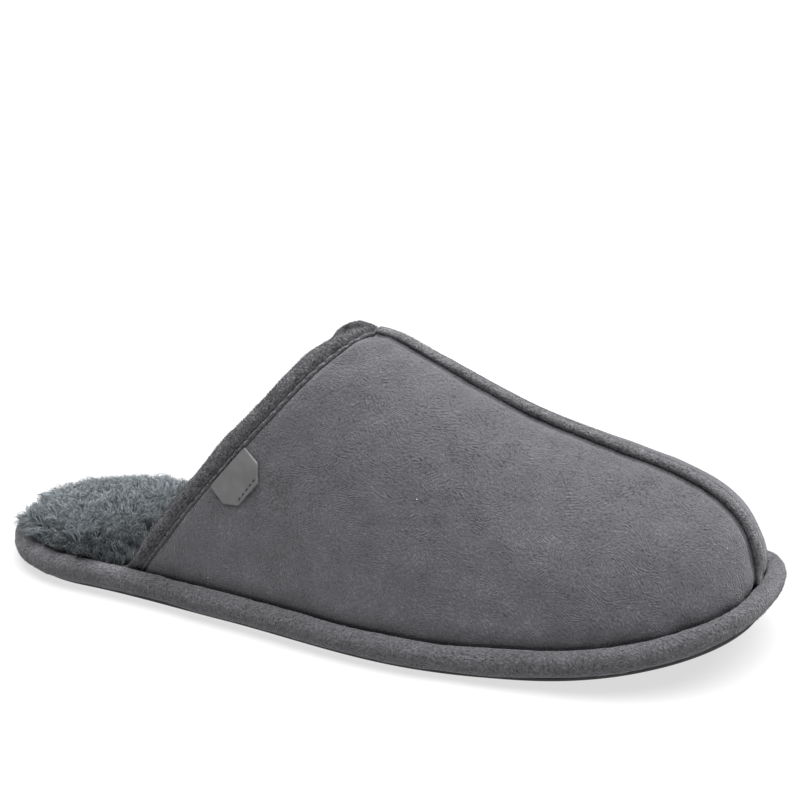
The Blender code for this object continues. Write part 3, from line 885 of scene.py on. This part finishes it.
def make_strip(cloth):
    """The padded welt over the centre seam and the narrow stitched ridge on its medial side."""
    line, travel = ridge_line(STRIP_STATIONS)
    tangent = np.gradient(line, axis=0)
    normal = unit(np.cross(tangent, (0.0, 1.0, 0.0)))
    normal *= np.sign(normal[:, 2] + normal[:, 0])[:, None]
    start = STRIP_START_SHARE + (1 - STRIP_START_SHARE) * eased(travel / STRIP_START_TAPER)
    tip = STRIP_TIP_SHARE + (1 - STRIP_TIP_SHARE) * eased((travel[-1] - travel) / STRIP_TIP_TAPER)
    across, off = smooth_through([(row.across, row.off) for row in STRIP], STRIP_POINTS, closed=True).T
    sway = ripples(line, (0.00016, 0.023, 41), (0.00006, 0.006, 42))[:, None]
    pinch = 0.5 - 0.5 * np.cos(2 * math.pi * travel / STRIP_PITCH)
    in_ridge = bell(across - STRIP_RIDGE, 0.0007) * (off > 0.0006)
    plump = 1 + 0.05 * ripple(line, 0.012, 43)[:, None]
    height = (off - TOUCH_GAP) * start[:, None] * tip[:, None] * plump
    height = height - STRIP_PINCH * (pinch**6)[:, None] * in_ridge
    above = line[:, None, :] + normal[:, None, :] * DROP_FROM + joined(0.0, across + sway, 0.0)
    down = np.broadcast_to(-normal[:, None, :], above.shape)
    points = drop_on_last(above, down) + normal[:, None, :] * (TOUCH_GAP + height)[..., None]
    material = suede("strip_suede", cloth.trim_colour, cloth, 1.5)
    piece = tube("centre_welt", points, material)
    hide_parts("centre_strip")
    nap = (points, outward_of(points), STRIP_FIBRES, cloth.nap_length, material, "suede_trim", 44)
    fibres("welt_nap", *nap)


RIM_STATIONS = 330
RIM_POINTS = 40
RIM_FIBRES = 60000
DECK_INSETS = (0.0085, 0.0130, 0.0200)


def make_rim(cloth):
    """The platform's padded rim in the same cloth, with its deck and underside closed."""
    profile = smooth_through([(row.inset, row.height) for row in RIM], RIM_POINTS)
    loops = np.array([ring(inset, height, RIM_STATIONS) for inset, height in profile])
    normal = outward_normals(loops, closed=True)
    centre = loops.mean(axis=(0, 1))
    outward = np.sign(((loops - centre) * normal)[len(loops) // 3].sum(-1).mean())
    share = np.linspace(0, 1, RIM_POINTS)[:, None]
    visible = eased(share / 0.12) * eased((1 - share) / 0.10)
    soft = ripples(loops, (0.00016, 0.034, 51), (0.00009, 0.013, 52), (0.00004, 0.006, 53))
    round_end = eased((np.abs(loops[..., 0]) - 0.085) / 0.04)
    gathers = 0.00009 * round_end * ripple(loops * (1.0, 1.0, 0.25), 0.0045, 54)
    drawn = bell(share - 0.92, 0.10) * 0.00014 * ripple(loops, 0.007, 55)
    relief = (soft + gathers + drawn) * visible
    loops = loops + outward * normal * relief[..., None]
    under = [ring(inset, RIM[0].height, RIM_STATIONS) for inset in DECK_INSETS[::-1]]
    deck = [ring(inset, DECK, RIM_STATIONS) for inset in DECK_INSETS]
    points = np.concatenate([under, loops, deck])
    rows, columns = points.shape[:2]
    faces = grid_quads(rows, columns, closed=True).tolist()
    for row in (0, rows - 1):
        turn = -1 if row else 1
        for i in range(columns // 2):
            corners = [row * columns + k % columns for k in (i, i + 1, columns - i - 1, columns - i)]
            faces.append(list(dict.fromkeys(corners))[::turn])
    material = suede("rim_suede", cloth.rim_colour, cloth, 1.7)
    piece = new_piece("rim_wrap", points, faces, material)
    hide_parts("wrapped_midsole")
    nap = (loops, outward * normal, RIM_FIBRES, cloth.nap_length * 0.9, material, "suede", 56)
    fibres("rim_nap", *nap)


OUTSOLE_THICKNESS = 0.0018
OUTSOLE_INSET = 0.0050
OUTSOLE_CORNER = 0.0005
TREAD_ROWS = 240
TREAD_COLUMNS = 60
TREAD_DEPTH = 0.00055
TREAD_PITCH = 0.0062


def tread_depth(x, y):
    """Fine wavy ribs in the underside, with a plain border round them."""
    wave = np.sin(2 * math.pi * (x / TREAD_PITCH + 0.35 * np.sin(2 * math.pi * y / 0.017)))
    return TREAD_DEPTH * eased((wave - 0.35) / 0.4)


def make_outsole(sole):
    """The thin rubber sheet: a smooth edge, and fine wavy ribs underneath."""
    tip = HALF - OUTSOLE_INSET
    x = (-tip + 2 * tip * end_spaced(TREAD_ROWS))[:, None]
    low, high = -half_width_at(OUTSOLE_INSET, "lateral", x), half_width_at(OUTSOLE_INSET, "medial", x)
    share = np.linspace(0, 1, TREAD_COLUMNS + 1)
    y = low * (1 - share) + high * share
    x = np.broadcast_to(x, y.shape)
    edge = np.minimum(np.minimum(y - low, high - y), np.minimum(x + tip, tip - x))
    rounding = OUTSOLE_CORNER * (1 - rounded_end(edge, OUTSOLE_CORNER * 2, 2.0))
    grooves = tread_depth(x, y) * eased((edge - 0.0035) / 0.0008)
    under = joined(x, y, lift(x) + rounding + grooves)
    top = joined(x, y, lift(x) + OUTSOLE_THICKNESS)[::2, ::2]
    material = plain_rubber("sole_rubber", sole.colour)
    piece = shell("outsole_tread", under[:, ::-1], top[:, ::-1], 2, material)
    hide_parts("outsole")


def insole_half_width(side, x):
    heel = half_width_at(INSOLE_INSET_HEEL, side, x)
    vamp = half_width_at(INSOLE_INSET_VAMP, side, x)
    return heel + (vamp - heel) * eased((x - INSOLE_STEP_START) / (INSOLE_STEP_END - INSOLE_STEP_START))


INSOLE_HEEL = INSOLE_INSET_HEEL - HALF
INSOLE_TOE = HALF - INSOLE_INSET_VAMP


def crowned(edge):
    """0 at the insole's outline, rounding up to 1 at its shoulder and beyond."""
    return np.sin(np.minimum(edge / PILE_SHOULDER, 1.0) * math.pi / 2)


def backing_top(crown):
    return BACKING_EDGE + (BACKING_HEIGHT - BACKING_EDGE) * crown


def insole_edge(x, y):
    """How far a point of the insole lies inside its outline."""
    sides = np.minimum(insole_half_width("medial", x) - y, y + insole_half_width("lateral", x))
    return np.minimum(sides, np.minimum(x - INSOLE_HEEL, INSOLE_TOE - x))


BACKING_ROWS = 110
BACKING_COLUMNS = 36
BACKING_HEIGHT = 0.0052
BACKING_EDGE = 0.0030


def make_backing(fleece):
    """The foam sock that the pile grows from."""
    x = (INSOLE_HEEL + (INSOLE_TOE - INSOLE_HEEL) * end_spaced(BACKING_ROWS))[:, None]
    share = np.linspace(0, 1, BACKING_COLUMNS + 1)
    y = -insole_half_width("lateral", x) * (1 - share) + insole_half_width("medial", x) * share
    x = np.broadcast_to(x, y.shape)
    crown = crowned(insole_edge(x, y))
    places = joined(x, y, DECK + TOUCH_GAP + lift(x))
    lumps = 0.0006 * crown * ripple(places, 0.006, 61)
    top = places + joined(0.0, 0.0, backing_top(crown) + lumps)
    material = fleece_material("backing_fleece", fleece, DECK + 0.020, DECK)
    piece = shell("insole_backing", top, places[::2, ::2], 2, material)
    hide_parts("insole")


# Runs of fleece: from and to along the slipper, spacing of the locks, and strands in each
Pile = namedtuple("Pile", "name start end spacing strands")
PILES = (
    Pile("fleece_heel", -0.1390, -0.0830, 0.0033, 74),
    Pile("fleece_waist", -0.0830, -0.0230, 0.0033, 46),
    Pile("fleece_fore", -0.0230, 0.1180, 0.0060, 18),
)
BRIM_END = -0.0862

# Locks and their strands: ranges of their draws, and how deep the locks are sunk into the backing
LOCK_LEAN = (0.10, 0.50)
LOCK_HEIGHT = (0.84, 1.04)
LOCK_SPIN = (0.7, 1.4)
LOCK_SUNK = 0.0008
STRAND_JOINTS = 5
STRAND_LEAN = 0.14
STRAND_HEIGHT = (0.62, 1.0)
STRAND_CURL = (0.0003, 0.0009)
STRAND_WIDTH = (0.00007, 0.00014)
STRAND_TAPER = 0.70


def lock_roots(pile, rng):
    """Jittered centres of the locks inside the insole's outline, and a row round the open heel's brim."""
    count_x = int((pile.end - pile.start) / pile.spacing)
    x = pile.start + (np.arange(count_x) + 0.5) * pile.spacing
    y = np.arange(-0.048, 0.048, pile.spacing)
    x, y = (axis.ravel() for axis in np.meshgrid(x, y))
    x = x + rng.uniform(-0.45, 0.45, x.shape) * pile.spacing
    y = y + rng.uniform(-0.45, 0.45, y.shape) * pile.spacing
    kept = insole_edge(x, y) > 0.0004
    rim = end_spaced(PLAN_POINTS) * 2 * HALF - HALF
    rim = rim[(rim > pile.start) & (rim < pile.end) & (rim > INSOLE_HEEL + 0.0006)]
    inside = 0.0006 - 0.0028 * eased((rim - INSOLE_STEP_START) / 0.010)
    lateral = joined(rim, inside - insole_half_width("lateral", rim))
    medial = joined(rim, insole_half_width("medial", rim) - inside)
    brim = np.concatenate([lateral, medial[::-1]])
    travel = travelled(brim, 0)
    even = np.arange(0, travel[-1], pile.spacing * 0.55)
    brim = joined(*(np.interp(even, travel, brim[:, i]) for i in range(2)))
    brim = brim[(insole_edge(*brim.T) < 0.0012) & (brim[:, 0] < BRIM_END)]
    return np.concatenate([np.column_stack([x[kept], y[kept]]), brim]).T


def make_pile(pile, fleece, seed):
    """Curly locks of fleece: strands that lean and curl together, drawn to a tip."""
    rng = np.random.default_rng(seed)
    lock_x, lock_y = lock_roots(pile, rng)
    locks = len(lock_x)
    edge = insole_edge(lock_x, lock_y)
    step = 0.0005
    slope_x = insole_edge(lock_x + step, lock_y) - insole_edge(lock_x - step, lock_y)
    slope_y = insole_edge(lock_x, lock_y + step) - insole_edge(lock_x, lock_y - step)
    outward = unit(-joined(slope_x, slope_y))
    heading = math.pi * ripple(joined(lock_x, lock_y, 0.0), 0.030, seed + 1) + rng.normal(0, 0.7, locks)
    lean = joined(np.cos(heading), np.sin(heading)) * rng.uniform(*LOCK_LEAN, locks)[:, None]
    open_heel = 1 - eased((lock_x - INSOLE_STEP_START + 0.004) / 0.010)
    lean += outward * ((0.10 + 0.62 * open_heel) * bell(edge, 0.0032))[:, None]
    crown = crowned(edge)
    tall = (PILE_EDGE + (PILE_HEIGHT - PILE_EDGE) * crown) * rng.uniform(*LOCK_HEIGHT, locks)
    floor = (backing_top(crown) - LOCK_SUNK) * (1 - 0.8 * bell(edge, 0.0016))
    reach = (tall - floor) * fleece.curl_length
    turn = rng.uniform(0, 2 * math.pi, locks)
    spin = rng.choice((-1.0, 1.0), locks) * rng.uniform(*LOCK_SPIN, locks)

    shape = (locks, pile.strands)
    root_angle = rng.uniform(0, 2 * math.pi, shape)
    root_radius = 0.72 * pile.spacing * np.sqrt(rng.uniform(0, 1, shape))
    own_lean = rng.normal(0, STRAND_LEAN, shape + (2,))
    own_tall = rng.uniform(*STRAND_HEIGHT, shape)
    own_turn = turn[:, None] + rng.normal(0, 0.55, shape)
    curl = rng.uniform(*STRAND_CURL, shape)

    t = np.linspace(0, 1, STRAND_JOINTS)
    drawn = (0.75 + 0.45 * np.sin(math.pi * t**0.8)) * root_radius[..., None]
    px = lock_x[:, None, None] + drawn * np.cos(root_angle)[..., None]
    py = lock_y[:, None, None] + drawn * np.sin(root_angle)[..., None]
    push = (lean[:, None, :] + own_lean) * (reach[:, None] * own_tall)[..., None]
    px = px + push[..., 0, None] * t**1.3
    py = py + push[..., 1, None] * t**1.3
    angle = own_turn[..., None] + 2 * math.pi * spin[:, None, None] * t
    swing = curl[..., None] * np.sin(math.pi * np.minimum(t * 1.15, 1.0) * 0.5) ** 1.3
    px = px + swing * (np.cos(angle) - np.cos(own_turn)[..., None])
    py = py + swing * (np.sin(angle) - np.sin(own_turn)[..., None])
    rise = (reach[:, None] * own_tall)[..., None] * np.sin(t * math.pi * 0.66)
    pz = DECK + TOUCH_GAP + lift(px) + floor[:, None, None] + np.maximum(rise, 0.0)
    spine = joined(px, py, pz).reshape(-1, STRAND_JOINTS, 3)

    tangent = unit(np.gradient(spine, axis=1))
    aside = unit(np.cross(tangent, unit(rng.normal(size=(len(spine), 1, 3)))))
    wide = (rng.uniform(*STRAND_WIDTH, (len(spine), 1)) * (1 - STRAND_TAPER * t**3))[..., None]
    points = np.stack([spine - aside * wide, spine + aside * wide], axis=2)
    first = (np.arange(len(spine)) * STRAND_JOINTS * 2)[:, None]
    k = first + np.arange(STRAND_JOINTS - 1)[None, :] * 2
    faces = joined(k, k + 1, k + 3, k + 2).reshape(-1, 4)
    from_lock = spine[..., :2] - np.repeat(joined(lock_x, lock_y), pile.strands, axis=0)[:, None]
    soft = unit(joined(*np.moveaxis(from_lock / pile.spacing * 1.1, -1, 0), 1.0))
    soft = unit(soft + 0.16 * unit(np.cross(tangent, aside)) * np.sign(rng.normal(size=(len(spine), 1, 1))))
    shading = np.repeat(soft[:, :, None], 2, axis=2)
    material = fleece_material(pile.name, fleece, DECK + 0.0135, DECK + 0.003)
    return new_piece(pile.name, points, faces, material, shading)


TAB_OUTLINE_POINTS = 168
TAB_CORNER = 0.0004
Bevel = namedtuple("Bevel", "inset height")
TAB_BEVEL = (
    Bevel(0.00000, 0.00000), Bevel(0.00000, 0.00070), Bevel(0.00006, 0.00092), Bevel(0.00020, 0.00106),
    Bevel(0.00045, 0.00110), Bevel(0.00090, 0.00111), Bevel(0.00150, 0.00111), Bevel(0.00230, 0.00111),
)
TAB_RINGS = 9
STITCH_COUNT = 5
STITCH_LENGTH = 0.0013
STITCH_HALF_WIDTH = 0.00024
STITCH_HALF_HEIGHT = 0.00013
STITCH_SUNK = 0.00004
STITCH_DENT = 0.00030
Spot = namedtuple("Spot", "along away")
STITCH_START = Spot(0.0052, 0.0114)
STITCH_END = Spot(-0.0036, 0.0118)


def tab_frame():
    """The tab's centre on the wall, its outward normal, and its directions along and away from the edge."""
    x = float(before_edge(TAB_PLACE, 0.0))
    centre = wall_point(x, TAB_PLACE)
    normal = wall_normal(x, TAB_PLACE)
    along = edge_direction(np.array(TAB_PLACE))
    away = np.cross(along, normal)
    away *= math.copysign(1, away[0])
    return centre, normal, along, away


def tab_outline():
    """The tab's flat outline as (along, away) points, its corners a little rounded."""
    corners = [(row.half_width, row.away) for row in TAB]
    corners += [(-along, away) for along, away in corners[::-1]]
    corners = np.array(corners)
    path = []
    for i, corner in enumerate(corners):
        before = unit(corners[i - 1] - corner)
        after = unit(corners[(i + 1) % len(corners)] - corner)
        for t in np.linspace(0, 1, 7):
            path.append(corner + TAB_CORNER * ((1 - t) ** 2 * before + t**2 * after))
    loop = np.array(path + path[:1])
    travel = travelled(loop, 0)
    even = np.linspace(0, travel[-1], TAB_OUTLINE_POINTS, endpoint=False)
    return joined(*(np.interp(even, travel, loop[:, i]) for i in range(2)))


def on_tab(flat, height):
    """Flat (along, away) points of the tab laid on the wall, at a height above it."""
    centre, normal, along, away = tab_frame()
    above = centre + flat[..., :1] * along + flat[..., 1:] * away + normal * DROP_FROM
    down = np.broadcast_to(-normal, above.shape)
    return drop_on_last(above, down) + normal * (TOUCH_GAP + height)[..., None]


def make_tab(tab):
    """The leather-look tab with its edge rounded over."""
    outline = tab_outline()
    centre = outline.mean(axis=0)
    reach = np.linalg.norm(outline - centre, axis=1).min()
    rings = [centre + (outline - centre) * (1 - step.inset / reach) for step in TAB_BEVEL]
    heights = [step.height for step in TAB_BEVEL]
    last_ring, last_height = rings[-1], heights[-1]
    for share in np.linspace(0, 0.92, TAB_RINGS + 1)[1:]:
        rings.append(last_ring * (1 - share) + centre * share)
        heights.append(last_height)
    flat = np.array(rings)
    height = np.broadcast_to(np.array(heights)[:, None], flat.shape[:2]).copy()
    places, run = stitch_line()
    for place in places:
        offset = flat - place
        lengthwise = np.abs(offset @ run)
        sideways = np.abs(offset @ np.array([-run[1], run[0]]))
        height -= STITCH_DENT * bell(np.maximum(lengthwise - STITCH_LENGTH / 2, 0) + sideways, 0.0005)
    under = on_tab(outline, np.zeros(len(outline)))
    points = np.concatenate([under[None], on_tab(flat, height)])
    faces = capped_quads(*points.shape[:2])
    material = tab_leather("tab_leather", tab.colour)
    piece = new_piece("tab_patch", points, faces, material)
    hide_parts("side_tab")
    make_stitches(tab, places, run)


def make_stitches(tab, places, run):
    """Short dark runs of thread, sunk into the tab."""
    aside = np.array([-run[1], run[0]])
    turn = np.linspace(0, 2 * math.pi, 13)[:-1]
    share = np.linspace(-1, 1, 9)[:, None]
    round_end = np.sqrt(np.maximum(1 - np.abs(share) ** 4, 0.02))
    lengthwise = share * STITCH_LENGTH / 2 * np.ones_like(turn)
    sideways = STITCH_HALF_WIDTH * round_end * np.cos(turn)
    height = TAB_THICKNESS - STITCH_SUNK + STITCH_HALF_HEIGHT * round_end * np.sin(turn)
    points, faces = [], []
    for place in places:
        flat = place + lengthwise[..., None] * run + sideways[..., None] * aside
        faces += capped_quads(*height.shape, first=len(points) * height.size)
        points.append(on_tab(flat, height))
    material = thread("tab_thread", tab.thread_colour)
    return new_piece("tab_stitches", points, faces, material)


def stitch_line():
    """The middles of the stitches along the tab's outer edge, and their direction."""
    first = np.array([STITCH_START.along, STITCH_START.away])
    second = np.array([STITCH_END.along, STITCH_END.away])
    places = [first + (second - first) * share for share in np.linspace(0, 1, STITCH_COUNT)]
    return places, unit(second - first)


OPERATORS = []


def operator(cls):
    """Keeps each operator's class in the order in which the slipper is made."""
    OPERATORS.append(cls)
    return cls


Colour = partial(bpy.props.FloatVectorProperty, subtype="COLOR", size=3)
Share = partial(bpy.props.FloatProperty, subtype="FACTOR", min=0.0, max=1.0)
Length = partial(bpy.props.FloatProperty, unit="LENGTH", min=0.0)


class SLIPPER_PG_cloth(bpy.types.PropertyGroup):
    """The grey suede-look cloth"""

    colour: Colour(name="Vamp colour", description="Colour of the vamp", default=(0.088, 0.086, 0.094))
    trim_colour: Colour(
        name="Trim colour", description="Colour of binding and centre strip", default=(0.112, 0.111, 0.118)
    )
    rim_colour: Colour(
        name="Rim colour", description="Colour of the cloth round the sole", default=(0.078, 0.077, 0.083)
    )
    nap_depth: Length(name="Nap depth", description="Depth of the brushed nap", default=0.00044, max=0.001)
    lint_colour: Colour(name="Lint colour", description="Colour of the lint", default=(0.5, 0.5, 0.5))
    nap_length: Length(name="Nap length", description="Length of the nap's fibres", default=0.0007, max=0.003)
    sheen: Share(name="Bloom", description="Strength of the nap's bloom at grazing angles", default=0.35)


class SLIPPER_PG_fleece(bpy.types.PropertyGroup):
    """The curly fleece of insole and lining"""

    colour: Colour(name="Fleece colour", description="Colour of the fleece", default=(0.172, 0.190, 0.200))
    curl_length: Share(
        name="Curl length", description="Height of the locks as a share of the pile", default=1.0,
        min=0.5, max=1.5,
    )
    sheen: Share(name="Bloom", description="Strength of the fleece's bloom", default=0.6)


class SLIPPER_PG_sole(bpy.types.PropertyGroup):
    """The rubber outsole"""

    colour: Colour(name="Rubber colour", description="Colour of the outsole", default=(0.022, 0.022, 0.024))


class SLIPPER_PG_tab(bpy.types.PropertyGroup):
    """The side tab"""

    colour: Colour(name="Tab colour", description="Colour of the side tab", default=(0.116, 0.116, 0.119))
    thread_colour: Colour(
        name="Thread colour", description="Colour of the tab's stitches", default=(0.022, 0.022, 0.024)
    )


class SLIPPER_PG_stage(bpy.types.PropertyGroup):
    """Floor and light"""

    floor_shade: Share(name="Floor shade", description="How pale the floor is", default=0.20)
    floor_glow: bpy.props.FloatProperty(
        name="Floor glow", description="Light given off by the floor", default=0.68, min=0.0, soft_max=1.0
    )
    light: bpy.props.FloatProperty(
        name="Light", description="Strength of all the lights together", default=1.0, min=0.0, soft_max=4.0
    )


@operator
class SLIPPER_OT_vamp(bpy.types.Operator):
    """Make the vamp's cloth over the last"""

    bl_idname = "slipper.vamp"
    bl_label = "Vamp"

    def execute(self, context):
        make_vamp(context.scene.slipper_cloth)
        return {"FINISHED"}


@operator
class SLIPPER_OT_lining(bpy.types.Operator):
    """Make the fleece that lines the vamp"""

    bl_idname = "slipper.lining"
    bl_label = "Lining"

    def execute(self, context):
        make_lining(context.scene.slipper_fleece)
        return {"FINISHED"}


@operator
class SLIPPER_OT_binding(bpy.types.Operator):
    """Make the rolled binding round the topline"""

    bl_idname = "slipper.binding"
    bl_label = "Binding"

    def execute(self, context):
        make_binding(context.scene.slipper_cloth)
        return {"FINISHED"}


@operator
class SLIPPER_OT_strip(bpy.types.Operator):
    """Make the padded welt over the centre seam"""

    bl_idname = "slipper.strip"
    bl_label = "Centre strip"

    def execute(self, context):
        make_strip(context.scene.slipper_cloth)
        return {"FINISHED"}


@operator
class SLIPPER_OT_rim(bpy.types.Operator):
    """Make the cloth-wrapped rim of the platform"""

    bl_idname = "slipper.rim"
    bl_label = "Wrapped rim"

    def execute(self, context):
        make_rim(context.scene.slipper_cloth)
        return {"FINISHED"}


@operator
class SLIPPER_OT_outsole(bpy.types.Operator):
    """Make the rubber outsole and its tread"""

    bl_idname = "slipper.outsole"
    bl_label = "Outsole"

    def execute(self, context):
        make_outsole(context.scene.slipper_sole)
        return {"FINISHED"}


@operator
class SLIPPER_OT_insole(bpy.types.Operator):
    """Make the insole and its curly fleece"""

    bl_idname = "slipper.insole"
    bl_label = "Insole"

    def execute(self, context):
        fleece = context.scene.slipper_fleece
        make_backing(fleece)
        for seed, pile in enumerate(PILES, 70):
            make_pile(pile, fleece, seed)
        return {"FINISHED"}


@operator
class SLIPPER_OT_tab(bpy.types.Operator):
    """Make the side tab with its row of stitches"""

    bl_idname = "slipper.tab"
    bl_label = "Side tab"

    def execute(self, context):
        make_tab(context.scene.slipper_tab)
        return {"FINISHED"}


def add_camera(scene):
    camera = bpy.data.objects.new("camera", bpy.data.cameras.new("camera"))
    scene.collection.objects.link(camera)
    turn = Matrix.Rotation(VIEW_AZIMUTH, 4, "Z") @ Matrix.Rotation(math.pi / 2 - VIEW_ELEVATION, 4, "X")
    turn = turn @ Matrix.Rotation(-VIEW_ROLL, 4, "Z")
    camera.matrix_world = Matrix.Translation(VIEW_AIM) @ turn @ Matrix.Translation((0, 0, VIEW_DISTANCE))
    camera.data.lens = VIEW_LENS
    camera.data.sensor_width = 36.0
    camera.data.clip_start = 0.01
    scene.camera = camera


# Stage: the floor's half side, and the wide lamp that lights it evenly from high above
FLOOR_REACH = 20.0
WORLD_STRENGTH = 0.22
LAMP_DIRECTION = (0.16, 0.12, 0.95)
LAMP_WIDTH = math.radians(75)
LAMP_STRENGTH = 8.2
WHITE = (1.0, 1.0, 1.0, 1.0)


def add_lamp(scene, strength):
    data = bpy.data.lights.new("overhead", "SUN")
    data.angle = LAMP_WIDTH
    data.energy = strength
    lamp = bpy.data.objects.new("overhead", data)
    scene.collection.objects.link(lamp)
    lamp.rotation_euler = Vector(LAMP_DIRECTION).to_track_quat("Z", "Y").to_euler()


def add_floor(scene, stage):
    """Matt paper that glows a little, so that it stays white under the soft light."""
    mesh = bpy.data.meshes.new("floor")
    corners = [(x * FLOOR_REACH, y * FLOOR_REACH, 0) for x, y in ((-1, -1), (1, -1), (1, 1), (-1, 1))]
    mesh.from_pydata(corners, [], [(0, 1, 2, 3)])
    floor = bpy.data.objects.new("floor", mesh)
    scene.collection.objects.link(floor)
    shader = Shader("floor_paper")
    paper = shader.bump(shader.noise(shader.place(), 0.002, 2.0), 0.00001)
    shader.set(shader.surface, {"Emission Color": WHITE, "Emission Strength": stage.floor_glow})
    mesh.materials.append(shader.finish((stage.floor_shade,) * 3 + (1.0,), 0.9, paper, 0.1))


@operator
class SLIPPER_OT_stage(bpy.types.Operator):
    """Lay the pale floor and set the soft light and the camera"""

    bl_idname = "slipper.stage"
    bl_label = "Stage"

    def execute(self, context):
        scene = context.scene
        stage = scene.slipper_stage
        add_floor(scene, stage)
        world = bpy.data.worlds.new("studio")
        scene.world = world
        world.use_nodes = True
        background = world.node_tree.nodes["Background"]
        background.inputs["Color"].default_value = WHITE
        background.inputs["Strength"].default_value = WORLD_STRENGTH
        add_lamp(scene, LAMP_STRENGTH * stage.light)
        add_camera(scene)
        scene.view_settings.view_transform = "Standard"
        scene.view_settings.look = "None"
        return {"FINISHED"}


class SLIPPER_PT_panel(bpy.types.Panel):
    """Lists the slipper's pieces in the order in which they are made"""

    bl_idname = "SLIPPER_PT_panel"
    bl_label = "Slipper"
    bl_space_type = "VIEW_3D"
    bl_region_type = "UI"
    bl_category = "Slipper"

    def draw(self, context):
        for cls in OPERATORS:
            self.layout.operator(cls.bl_idname)


SETTINGS = {
    "slipper_cloth": SLIPPER_PG_cloth,
    "slipper_fleece": SLIPPER_PG_fleece,
    "slipper_sole": SLIPPER_PG_sole,
    "slipper_tab": SLIPPER_PG_tab,
    "slipper_stage": SLIPPER_PG_stage,
}


def register():
    for cls in (*SETTINGS.values(), *OPERATORS, SLIPPER_PT_panel):
        bpy.utils.register_class(cls)
    for name, cls in SETTINGS.items():
        setattr(bpy.types.Scene, name, bpy.props.PointerProperty(type=cls))


def unregister():
    for name in SETTINGS:
        delattr(bpy.types.Scene, name)
    for cls in (SLIPPER_PT_panel, *OPERATORS[::-1], *SETTINGS.values()):
        bpy.utils.unregister_class(cls)


def main():
    register()
    for cls in OPERATORS:
        group, name = cls.bl_idname.split(".")
        getattr(getattr(bpy.ops, group), name)()


if __name__ == "__main__":
    main()
